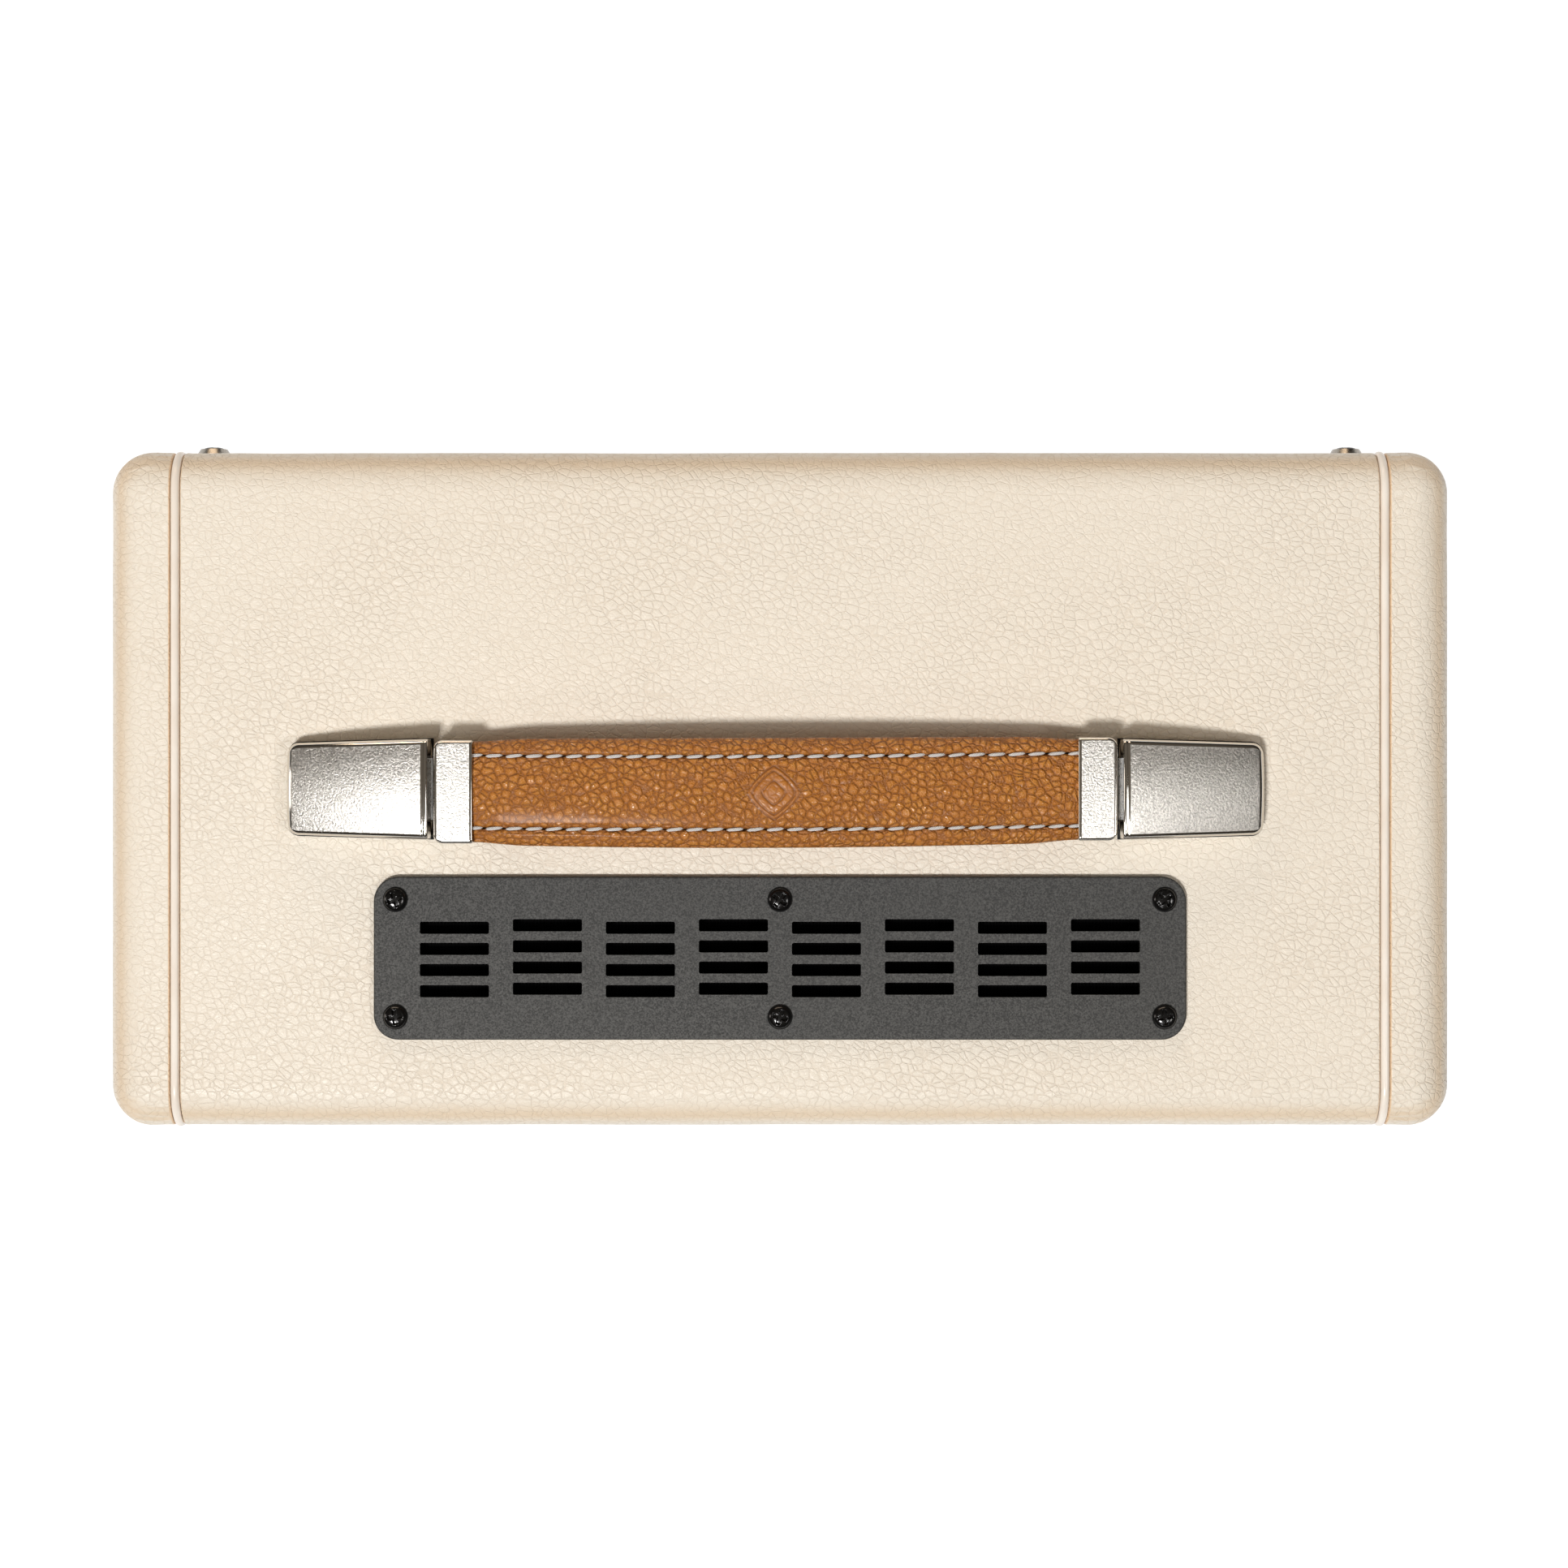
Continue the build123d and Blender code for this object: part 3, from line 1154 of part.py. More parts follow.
# ==== Feet ============================================================================
def rubber_foot():
    """A rubber foot that hangs from z = 0, with a recess for its screw."""
    with BuildPart() as foot:
        Cone(
            FOOT_R_BOTTOM,
            FOOT_R_TOP,
            FOOT_HEIGHT,
            align=(Align.CENTER, Align.CENTER, Align.MAX),
        )
        fillet(foot.edges().group_by(Axis.Z)[0], 1.5)
        with BuildSketch(Plane.XY.offset(-FOOT_HEIGHT)):
            Circle(5.0)
        extrude(amount=5.5, mode=Mode.SUBTRACT)
        with BuildSketch(Plane.XY.offset(-FOOT_HEIGHT)):
            Circle(HANDLE_BOLT_R)
        extrude(amount=FOOT_HEIGHT, mode=Mode.SUBTRACT)
    return foot.part


with BuildPart() as feet:
    with Locations(*[(x, y, BASE) for x, y in foot_places]):
        add(rubber_foot())
save(feet, "feet")

with BuildPart() as foot_screws:
    with Locations(*[Location((x, y, 5.5), (180, 0, 0)) for x, y in foot_places]):
        add(pan_screw(4.0, 2.4, HANDLE_BOLT_R, 13.0))
save(foot_screws, "foot_screws")
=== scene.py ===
"""Looks of the leather-covered portable radio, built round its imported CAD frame.

Shapes are worked out in millimetres in the frame's own axes (+X right, +Y rear, +Z up)
and become metres when a mesh is made.
"""

import math

import bpy
import numpy as np
from mathutils import Euler, Matrix, Vector


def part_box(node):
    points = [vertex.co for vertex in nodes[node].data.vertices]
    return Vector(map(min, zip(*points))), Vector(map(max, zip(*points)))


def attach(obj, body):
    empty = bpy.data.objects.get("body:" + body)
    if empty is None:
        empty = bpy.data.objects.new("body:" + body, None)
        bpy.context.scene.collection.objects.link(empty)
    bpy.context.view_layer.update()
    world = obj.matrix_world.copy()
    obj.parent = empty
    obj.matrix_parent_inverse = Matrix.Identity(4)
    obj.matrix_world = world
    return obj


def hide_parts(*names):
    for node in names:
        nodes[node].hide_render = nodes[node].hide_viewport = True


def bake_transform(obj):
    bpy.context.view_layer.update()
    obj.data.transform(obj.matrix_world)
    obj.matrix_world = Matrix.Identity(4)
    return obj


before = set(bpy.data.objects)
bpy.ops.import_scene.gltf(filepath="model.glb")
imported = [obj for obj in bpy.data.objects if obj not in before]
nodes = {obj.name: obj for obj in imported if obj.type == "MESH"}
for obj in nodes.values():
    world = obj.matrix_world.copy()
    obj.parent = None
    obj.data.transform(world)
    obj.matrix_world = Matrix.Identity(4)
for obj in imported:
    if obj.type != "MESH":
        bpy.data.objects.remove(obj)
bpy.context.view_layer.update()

MM = 0.001


def box_mm(node):
    """A CAD node's lowest and highest corners, in millimetres."""
    return [np.array(corner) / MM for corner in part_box(node)]


# ---- Measures, from the frame where it has them ----
cover_low, cover_high = box_mm("top_cover")
cheek_low, cheek_high = box_mm("right_cheek_cover")
bottom_low, bottom_high = box_mm("bottom_cover")
piping_low, piping_high = box_mm("right_piping")
plate_low, plate_high = box_mm("vent_plate")
_, strap_high = box_mm("handle_grip")
bracket_low, bracket_high = box_mm("right_bracket")
left_low, left_high = box_mm("left_bracket")
ferrule_low, ferrule_high = box_mm("right_ferrule")
panel_low, _ = box_mm("control_panel")
cloth_low, cloth_high = box_mm("grille_cloth")

TOP = cover_high[2]
BASE = bottom_low[2]
HALF_DEPTH = cover_high[1]
SEAM_IN = cover_high[0]
CHEEK_IN, CHEEK_OUT = cheek_low[0], cheek_high[0]
EDGE_R = 11.0
END_R = 10.8
LIP = 14.0  # how far a cover turns in under its board
SEAM_ROLL = 0.62  # radius with which the leathercloth dips to the piping
VENT_Y = (plate_low[1] + plate_high[1]) / 2
DUCT_HALF_X, DUCT_HALF_Y = 96.0, 13.75

BRACKET_HALF = 12.6  # mean half width of a bracket
STRAP_RISE = 3.6  # how much the resting strap arches
STRAP_HALF_H = 4.5
STRAP_MID_Z = strap_high[2] - STRAP_HALF_H
HANDLE_X = (left_low[0] + bracket_high[0]) / 2
STRAP_END = ferrule_low[0] - HANDLE_X - 0.6  # half the strap's bare length
STITCH_Y = 9.4
STITCH_PITCH = 5.2
CENTRE_HALF = 12.0  # half length of the strap's middle piece, which carries the emblem
EMBLEM_X = -0.4  # along the strap, from its middle


# ---- Small numpy helpers ----
def value_noise(points, seed=0):
    """Smooth noise from -1 to 1 for each row of points, with one cell per unit."""
    cell = np.floor(points).astype(np.int64)
    part = points - cell
    part = part * part * (3 - 2 * part)
    total = np.zeros(len(points))
    for corner in np.ndindex(2, 2, 2):
        key = (cell + np.array(corner)) * np.array([374761393, 668265263, 974634777])
        key = (key.sum(axis=1) + seed * 1274126177) & 0xFFFFFFFF
        key = ((key ^ (key >> 13)) * 1274126177) & 0xFFFFFFFF
        key ^= key >> 16
        weight = np.prod(np.where(corner, part, 1 - part), axis=1)
        total += weight * (key / 0x7FFFFFFF - 1)
    return total


def smooth(value, low, high):
    """0 below low, 1 above high, and a smooth step between."""
    t = np.clip((value - low) / (high - low), 0, 1)
    return t * t * (3 - 2 * t)


def arc(centre, radius, start, end, count):
    """Points on a circle's arc, angles in degrees."""
    angle = np.radians(np.linspace(start, end, count))
    return np.stack([centre[0] + radius * np.cos(angle), centre[1] + radius * np.sin(angle)], 1)


def spaced(start, end, step):
    """Evenly spaced numbers from start to end, about step apart, both ends in."""
    return np.linspace(start, end, max(2, int(round(abs(end - start) / step)) + 1))


# ---- Meshes ----
def piece(name, points, faces, materials, face_material=None, flat=False):
    """A mesh object from points in millimetres."""
    mesh = bpy.data.meshes.new(name)
    mesh.from_pydata((np.asarray(points) * MM).tolist(), [], [list(f) for f in faces])
    for material in materials:
        mesh.materials.append(material)
    if face_material is not None:
        mesh.polygons.foreach_set("material_index", np.asarray(face_material, np.int32))
    mesh.polygons.foreach_set("use_smooth", np.full(len(mesh.polygons), not flat))
    mesh.validate()
    mesh.update()
    made = bpy.data.objects.new(name, mesh)
    bpy.context.scene.collection.objects.link(made)
    return made


def grid_faces(rows, columns, wrap=False):
    """Quads over a rows x columns grid of points, row by row; wrap joins the last column."""
    last = columns if wrap else columns - 1
    r, c = np.meshgrid(np.arange(rows - 1), np.arange(last), indexing="ij")
    a = (r * columns + c).ravel()
    b = (r * columns + (c + 1) % columns).ravel()
    return np.stack([a, b, b + columns, a + columns], 1)


def tube_faces(rows, columns, cap_start=True, cap_end=True):
    """Faces of a tube through closed rings of points, with its ends capped or left open."""
    faces = grid_faces(rows, columns, wrap=True).tolist()
    if cap_start:
        faces.append(list(range(columns))[::-1])
    if cap_end:
        faces.append([(rows - 1) * columns + i for i in range(columns)])
    return faces


def on_x(x, yz):
    """Points from their y and z, all at one x."""
    return np.column_stack([np.full(len(yz), x), yz])


def quarter(count):
    """From 1 down to 0 along a quarter circle, for the places of a rounded end's loops."""
    return 1 - np.sin(np.linspace(0, math.pi / 2, count))


def round_angles(step):
    """Angles round a circle in radians, step degrees apart."""
    return np.radians(np.arange(0, 360, step))


def loft(name, loops, materials, face_material=None, cap_start=False, cap_end=False):
    """A skin through closed loops of points, all with the same count."""
    loops = np.asarray(loops)
    rows, columns = loops.shape[:2]
    faces = tube_faces(rows, columns, cap_start, cap_end)
    index = np.zeros((rows - 1) * columns, int) if face_material is None else face_material
    index = np.concatenate([index, index[:1][:cap_start], index[-1:][:cap_end]])
    return piece(name, loops.reshape(-1, 3), faces, materials, index)


def mirrored(made, name, about=0.0):
    """A copy of a piece on the other side of the YZ plane, or of one at x = about."""
    mesh = made.data.copy()
    mesh.name = name
    mesh.transform(Matrix.Scale(-1, 4, Vector((1, 0, 0))))
    mesh.transform(Matrix.Translation((2 * about * MM, 0, 0)))
    mesh.flip_normals()
    copy = bpy.data.objects.new(name, mesh)
    bpy.context.scene.collection.objects.link(copy)
    return copy


def number(made, name, values):
    """Stores one number per vertex, which a material reads by name."""
    attribute = made.data.attributes.new(name, "FLOAT", "POINT")
    attribute.data.foreach_set("value", np.asarray(values, np.float32))


def merged(name, parts, materials):
    """One piece from a list of (points, faces) in millimetres."""
    points, faces, start = [], [], 0
    for part_points, part_faces in parts:
        points.append(part_points)
        faces.extend([[i + start for i in face] for face in part_faces])
        start += len(part_points)
    return piece(name, np.concatenate(points), faces, materials)


def store_edge_shade(made):
    """Stores how far each point's surface has turned away from straight up or sideways, as the mask
    for painted shade on rounded edges.
    """
    normals = np.zeros(3 * len(made.data.vertices))
    made.data.vertices.foreach_get("normal", normals)
    flattest = np.abs(normals.reshape(-1, 3)).max(axis=1)
    number(made, "turned", smooth(1 - flattest, 0.02, 0.30))


def finish_piece(made, body, slot, *replaced):
    """Says what the piece rides on and the CAD nodes it stands for; the slot argument is not used.
    """
    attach(made, body)
    if replaced:
        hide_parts(*replaced)


def finish_pair(right, body, slot, part, replaces=True, about=0.0, shift_y=0.0):
    """Finishes a right-hand piece and makes its mirrored left-hand one, named alike."""
    left = mirrored(right, right.name.replace("right", "left"), about)
    left.data.transform(Matrix.Translation((0, shift_y * MM, 0)))
    for made, side in ((right, "right"), (left, "left")):
        names = [f"{side}_{part}"] if replaces else []
        finish_piece(made, body.format(side=side), slot, *names)
    return right, left


# ---- Materials ----
class Paint:
    """A material whose nodes are written one short line each."""

    def __init__(self, name, **sockets):
        self.material = bpy.data.materials.new(name)
        self.material.use_nodes = True
        self.tree = self.material.node_tree
        self.shader = self.tree.nodes["Principled BSDF"]
        self.set(**sockets)
        self.place = self.node("TexCoord").outputs["Object"]

    def set(self, **sockets):
        """Sets or links the shader's sockets: base_color="..." means Base Color."""
        names = {"ior": "IOR", "specular": "Specular IOR Level", "normal": "Normal"}
        for key, value in sockets.items():
            name = names.get(key, key.replace("_", " ").title())
            self.fill(self.shader.inputs[name], value)
        return self

    def fill(self, socket, value):
        if isinstance(value, bpy.types.NodeSocket):
            self.tree.links.new(value, socket)
        elif socket.type == "RGBA" and len(value) == 3:
            socket.default_value = (*value, 1)
        else:
            socket.default_value = value

    def node(self, kind, inputs=None, **settings):
        made = self.tree.nodes.new("ShaderNode" + kind)
        for key, value in settings.items():
            setattr(made, key, value)
        for key, value in (inputs or {}).items():
            self.fill(made.inputs[key], value)
        return made

    def math(self, operation, a, b=0.0, c=0.0):
        return self.node("Math", {0: a, 1: b, 2: c}, operation=operation).outputs[0]

    def times(self, a, b):
        return self.math("MULTIPLY", a, b)

    def axes(self):
        return self.node("SeparateXYZ", {0: self.place}).outputs

    def wave(self, value, rate):
        return self.math("SINE", self.times(value, rate))

    def ramp(self, value, low, high, to_low=0.0, to_high=1.0):
        inputs = {0: value, 1: low, 2: high, 3: to_low, 4: to_high}
        return self.node("MapRange", inputs, interpolation_type="SMOOTHSTEP").outputs[0]

    def stretched(self, scale, turn=(0, 0, 0)):
        """The object's coordinates turned (degrees), then scaled along each axis."""
        turned = self.node(
            "Mapping", {"Vector": self.place, "Rotation": [math.radians(t) for t in turn]}
        ).outputs[0]
        return self.node("Mapping", {"Vector": turned, "Scale": scale}).outputs[0]

    def noise(self, scale, detail=2.0, rough=0.5, where=None):
        inputs = {"Vector": where or self.place, "Scale": scale, "Detail": detail}
        inputs["Roughness"] = rough
        return self.node("TexNoise", inputs).outputs["Fac"]

    def warped(self, where, scale, amount):
        """Coordinates pushed about by noise, by up to about amount."""
        drift = self.node("TexNoise", {"Vector": where, "Scale": scale, "Detail": 2.0})
        centred = self.node(
            "VectorMath", {0: drift.outputs["Color"], 1: (0.5, 0.5, 0.5)}, operation="SUBTRACT"
        ).outputs[0]
        inputs = {0: centred, 1: (amount,) * 3, 2: where}
        return self.node("VectorMath", inputs, operation="MULTIPLY_ADD").outputs[0]

    def cells(self, where, scale, feature="DISTANCE_TO_EDGE"):
        inputs = {"Vector": where, "Scale": scale}
        return self.node("TexVoronoi", inputs, feature=feature).outputs["Distance"]

    def mix(self, factor, a, b):
        made = self.node("Mix", data_type="RGBA")
        colours = [s for s in made.inputs if s.type == "RGBA"]
        for socket, value in zip([made.inputs[0], *colours], (factor, a, b)):
            self.fill(socket, value)
        return [s for s in made.outputs if s.type == "RGBA"][0]

    def bump(self, height, distance, strength=1.0, normal=None):
        inputs = {"Height": height, "Distance": distance, "Strength": strength}
        if normal is not None:
            inputs["Normal"] = normal
        return self.node("Bump", inputs).outputs[0]

    def attribute(self, name):
        return self.node("Attribute", attribute_name=name).outputs["Fac"]


def leather_grain(paint, size, turn, crease=0.16):
    """Flat pebbles of about size (metres) with creases that come and go."""
    where = paint.warped(paint.stretched((1.0, 1.35, 1.0), turn), 0.35 / size, size * 0.9)
    edges = paint.cells(where, 1 / size)
    pebbles = paint.ramp(edges, 0.0, crease)
    domes = paint.math("SUBTRACT", 1.0, paint.cells(where, 1 / size, "F1"))
    height = paint.math("MULTIPLY_ADD", domes, 0.5, paint.times(pebbles, 0.7))
    return height, pebbles


def leathercloth():
    """Cream pebbled leathercloth, warm in its creases, with painted shade at its seams and on its
    rounded edges.
    """
    paint = Paint("cream_leathercloth", roughness=0.45, specular=0.42)
    coarse, pebbles = leather_grain(paint, 0.0025, (0, 0, 18), crease=0.12)
    fine, _ = leather_grain(paint, 0.0012, (0, 0, -20), crease=0.16)
    drawn_out = paint.warped(paint.stretched((0.45, 1.7, 1.7), (0, 0, -38)), 90, 0.005)
    long_creases = paint.ramp(paint.cells(drawn_out, 150), 0.0, 0.035)
    patches = paint.ramp(paint.noise(22, 3.0), 0.35, 0.65, 0.6, 1.0)
    relief = paint.times(coarse, patches)
    relief = paint.math("MULTIPLY_ADD", fine, 0.28, relief)
    relief = paint.math("MULTIPLY_ADD", long_creases, 0.25, relief)
    grain = paint.bump(relief, 0.00015)
    normal = paint.bump(paint.noise(2600, 2.0), 0.00001, normal=grain)
    depth = paint.times(paint.math("SUBTRACT", 1.0, pebbles), patches)
    cream, shade = (0.787, 0.722, 0.620), (0.54, 0.385, 0.25)
    tone = paint.mix(paint.times(depth, 0.15), cream, shade)
    cloud = paint.ramp(paint.noise(9, 2.0), 0.3, 0.7, 0.0, 0.10)
    tone = paint.mix(cloud, tone, (0.72, 0.60, 0.46))
    for name, share, tint in (
        # painted shade: a tan tint in the crevice where the cover dips to the piping
        ("seam", 0.75, (0.86, 0.56, 0.32)),
        # painted shade: a warm darker tint on rounded edges turned away from the light
        ("turned", 0.62, (0.66, 0.49, 0.31)),
    ):
        tone = paint.mix(paint.times(paint.attribute(name), share), tone, tint)
    rough = paint.ramp(coarse, 0.3, 1.0, 0.58, 0.40)
    return paint.set(base_color=tone, normal=normal, roughness=rough).material


def tan_leather():
    """Tan saddle leather with rounded pebbles and dark creases."""
    paint = Paint("tan_leather", specular=0.5, coat_weight=0.04, coat_roughness=0.15)
    where = paint.warped(paint.stretched((1.0, 1.1, 1.0), (0, 0, 20)), 140, 0.0022)
    size = 0.0021
    edges = paint.cells(where, 1 / size)
    crease = paint.ramp(edges, 0.0, 0.24)
    domes = paint.math("SUBTRACT", 1.0, paint.cells(where, 1 / size, "F1"))
    small = paint.ramp(paint.cells(paint.warped(paint.place, 300, 0.001), 1150), 0.0, 0.3)
    relief = paint.math("MULTIPLY_ADD", domes, 0.9, paint.times(crease, 0.8))
    relief = paint.math("MULTIPLY_ADD", small, 0.35, relief)
    flatter = paint.math("SUBTRACT", 1.0, paint.times(paint.attribute("pressed"), 0.8))
    normal = paint.bump(paint.times(relief, flatter), 0.00036)
    dark, warm, pale = (0.130, 0.038, 0.005), (0.440, 0.155, 0.020), (0.53, 0.215, 0.040)
    tone = paint.mix(paint.ramp(domes, 0.35, 0.9), warm, pale)
    tone = paint.mix(paint.ramp(edges, 0.0, 0.14, 0.60, 0.0), tone, dark)
    cloud = paint.ramp(paint.noise(60, 3.0), 0.35, 0.7, 0.0, 0.30)
    tone = paint.mix(cloud, tone, (0.33, 0.110, 0.018))
    # painted shade: the "seam" entry darkens the stitch grooves and the emblem's pressed lines
    for name, share, tint in (("pressed", 0.6, (0.37, 0.128, 0.017)), ("seam", 0.8, dark)):
        tone = paint.mix(paint.times(paint.attribute(name), share), tone, tint)
    rough = paint.ramp(domes, 0.3, 0.9, 0.50, 0.27)
    return paint.set(base_color=tone, normal=normal, roughness=rough).material


def metal(name, colour, rough, grain_scale=0.0, grain_depth=0.0, grain_tint=0.0, stain=0.04):
    """Bare or plated metal, with a blasted or brushed grain if it has one."""
    paint = Paint(name, metallic=1.0)
    cloud = paint.noise(140, 3.0)
    tone = paint.mix(paint.ramp(cloud, 0.3, 0.7), colour, [c * (1 - stain) for c in colour])
    if grain_scale:
        speck = paint.noise(grain_scale, 3.0, 0.7)
        pits = paint.ramp(speck, 0.36, 0.64, grain_tint, 0.0)
        tone = paint.mix(pits, tone, [c * 0.3 for c in colour])
        paint.set(normal=paint.bump(speck, grain_depth))
        paint.set(roughness=paint.ramp(speck, 0.3, 0.7, rough * 0.85, rough * 1.15))
    else:
        paint.set(roughness=paint.ramp(cloud, 0.3, 0.7, rough * 0.9, rough * 1.2))
    return paint.set(base_color=tone).material


def powder_coat():
    """Dark grey fine-textured powder coat."""
    paint = Paint("powder_coat", specular=0.42)
    speck = paint.noise(2300, 3.0, 0.65)
    tone = paint.mix(paint.ramp(speck, 0.35, 0.68), (0.015, 0.015, 0.014), (0.067, 0.066, 0.062))
    cloud = paint.ramp(paint.noise(40, 2.0), 0.3, 0.7, 0.0, 0.2)
    tone = paint.mix(cloud, tone, (0.045, 0.045, 0.042))
    normal = paint.bump(speck, 0.00007)
    rough = paint.ramp(speck, 0.3, 0.7, 0.62, 0.46)
    return paint.set(base_color=tone, normal=normal, roughness=rough).material


def moulding(name, colour, rough=0.35, texture=0.0, specular=0.5, coat=0.0):
    """Moulded plastic, rubber or lacquer, with an optional fine texture."""
    paint = Paint(name, specular=specular, coat_weight=coat, coat_roughness=0.15)
    cloud = paint.noise(90, 4.0)
    tone = paint.mix(paint.ramp(cloud, 0.3, 0.7, 0.0, 0.4), colour, [c * 0.85 for c in colour])
    if texture:
        paint.set(normal=paint.bump(paint.noise(1500, 3.0, 0.6), texture))
    rough = paint.ramp(cloud, 0.3, 0.7, rough * 0.97, rough * 1.05)
    return paint.set(base_color=tone, roughness=rough).material


def vinyl_piping():
    """Off-white glossy vinyl bead."""
    paint = Paint("vinyl_piping", specular=0.5, coat_weight=0.35, coat_roughness=0.12)
    cloud = paint.ramp(paint.noise(70, 3.0), 0.3, 0.7)
    tone = paint.mix(cloud, (0.80, 0.72, 0.63), (0.85, 0.79, 0.71))
    normal = paint.bump(paint.noise(500, 2.0), 0.00002)
    return paint.set(base_color=tone, roughness=0.30, normal=normal).material


def plywood(name, pale, dark):
    """Layered wood with a streaky grain along X."""
    paint = Paint(name)
    streaks = paint.noise(1.0, 4.0, 0.6, paint.stretched((30, 900, 900)))
    tone = paint.mix(paint.ramp(streaks, 0.35, 0.65), pale, dark)
    return paint.set(base_color=tone, roughness=0.75, normal=paint.bump(streaks, 0.00005)).material


def woven_cloth():
    """Tweed speaker cloth: crossed yarns with flecks of gold and dark brown."""
    paint = Paint("speaker_cloth", roughness=0.85, specular=0.2, sheen_weight=0.25)
    x, _, z = paint.axes()
    pitch = 2 * math.pi / 0.0016
    warp_wave = paint.wave(x, pitch)
    weft_wave = paint.wave(z, pitch)
    over = paint.times(warp_wave, weft_wave)
    ribs = [paint.math("ABSOLUTE", wave) for wave in (warp_wave, weft_wave)]
    ribs = paint.math("MAXIMUM", *ribs)
    height = paint.math("MULTIPLY_ADD", over, 0.5, ribs)
    flecks = paint.noise(1.0, 2.0, 0.5, paint.stretched((420, 420, 1500)))
    tone = paint.mix(paint.ramp(over, -0.6, 0.6), (0.10, 0.052, 0.024), (0.34, 0.225, 0.115))
    tone = paint.mix(paint.ramp(flecks, 0.56, 0.66, 0.0, 0.8), tone, (0.62, 0.47, 0.26))
    tone = paint.mix(paint.ramp(ribs, 0.2, 0.7, 0.6, 0.0), tone, (0.02, 0.012, 0.008))
    return paint.set(base_color=tone, normal=paint.bump(height, 0.00025)).material


def thread():
    """Twisted white polyester thread."""
    paint = Paint("white_thread", roughness=0.5, specular=0.4, sheen_weight=0.2)
    x, y, _ = paint.axes()
    lay = paint.wave(paint.math("ADD", x, paint.times(y, 2.2)), 9500)
    tone = paint.mix(paint.ramp(lay, -0.8, 0.6), (0.62, 0.58, 0.55), (0.93, 0.92, 0.91))
    return paint.set(base_color=tone, normal=paint.bump(lay, 0.00008)).material


def clear(name, colour, rough=0.03):
    """Clear moulded window or lens."""
    paint = Paint(name, transmission_weight=1.0, ior=1.49)
    haze = paint.ramp(paint.noise(60, 2.0), 0.3, 0.7, rough, rough + 0.03)
    return paint.set(base_color=colour, roughness=haze).material


def shade_gauze():
    """Black gauze behind the vent: a near-black sheet of painted shade that keeps the duct dark."""
    paint = Paint("vent_shade_gauze", roughness=0.95, specular=0.05)
    x, y, _ = paint.axes()
    height = paint.math("MAXIMUM", *[paint.wave(axis, 7000) for axis in (x, y)])
    tone = paint.mix(paint.ramp(height, 0.0, 1.0), (0.0006,) * 3, (0.0025,) * 3)
    return paint.set(base_color=tone, normal=paint.bump(height, 0.0001)).material


def dial_card():
    """Cream printed card, a little darker towards its ends."""
    paint = Paint("dial_card", roughness=0.6)
    x = paint.axes()[0]
    away = paint.math("ABSOLUTE", paint.math("SUBTRACT", x, 0.036))
    paper = paint.noise(900, 3.0)
    tone = paint.mix(paint.ramp(away, 0.01, 0.06), (0.86, 0.79, 0.60), (0.66, 0.55, 0.36))
    tone = paint.mix(paint.ramp(paper, 0.4, 0.7, 0.0, 0.12), tone, (0.5, 0.42, 0.3))
    return paint.set(base_color=tone, normal=paint.bump(paper, 0.00001)).material


cream = leathercloth()
tan = tan_leather()
blasted = metal("blasted_nickel", (0.74, 0.715, 0.675), 0.36, 1700, 0.00016, grain_tint=0.55)
polished = metal("polished_nickel", (0.76, 0.73, 0.68), 0.10)
dull_nickel = metal("dull_nickel", (0.36, 0.33, 0.29), 0.28, 1200, 0.00002)
zinc = metal("zinc_plate", (0.62, 0.63, 0.64), 0.30, 900, 0.00001)
brass = metal("turned_brass", (0.78, 0.57, 0.28), 0.25)
chrome = metal("chrome_plate", (0.83, 0.83, 0.84), 0.07)
spun = metal("spun_brass", (0.66, 0.55, 0.37), 0.30, 1600, 0.00001)
coat = powder_coat()
screw_black = moulding("black_oxide", (0.0035, 0.0035, 0.0035), 0.17, specular=0.5)
bakelite = moulding("dark_knob", (0.030, 0.014, 0.009), 0.22, specular=0.55, coat=0.5)
black_plastic = moulding("black_plastic", (0.018, 0.018, 0.019), 0.45, 0.00006)
rubber = moulding("foot_rubber", (0.016, 0.016, 0.016), 0.75, 0.00008, specular=0.3)
lacquer = moulding("panel_lacquer", (0.045, 0.030, 0.021), 0.34, 0.00002, coat=0.25)
card = dial_card()
vinyl = vinyl_piping()
black_wood = plywood("blackened_board", (0.004, 0.004, 0.004), (0.002, 0.002, 0.002))
birch = plywood("birch_board", (0.62, 0.45, 0.27), (0.48, 0.32, 0.17))
hardboard = plywood("hardboard", (0.16, 0.09, 0.05), (0.10, 0.055, 0.03))
cloth = woven_cloth()
yarn = thread()
# painted shade: near-black lenses for the shade in the needle holes
hole_shade_black = moulding("needle_hole", (0.004, 0.002, 0.001), 0.8, specular=0.05)
window = clear("clear_window", (0.97, 0.98, 0.97))
jewel = clear("red_lens", (0.75, 0.02, 0.01), 0.06)
ink = moulding("panel_ink", (0.72, 0.66, 0.52), 0.5)
dial_ink = moulding("dial_ink", (0.050, 0.022, 0.012), 0.55)
red_lacquer = moulding("pointer_red", (0.62, 0.030, 0.012), 0.3, coat=0.3)
paper = moulding("cone_paper", (0.030, 0.028, 0.027), 0.85, 0.00012, specular=0.2)
ferrite = moulding("ferrite", (0.030, 0.030, 0.032), 0.5, 0.00005)
fibreglass = moulding("circuit_board", (0.035, 0.15, 0.065), 0.4, 0.00003)
jacket = moulding("cell_jacket", (0.03, 0.09, 0.26), 0.28, coat=0.3)
nylon = moulding("dial_cord", (0.55, 0.50, 0.38), 0.6, 0.00005)
# painted shade: the near-black sheet under the vent plate
vent_shade_black = shade_gauze()

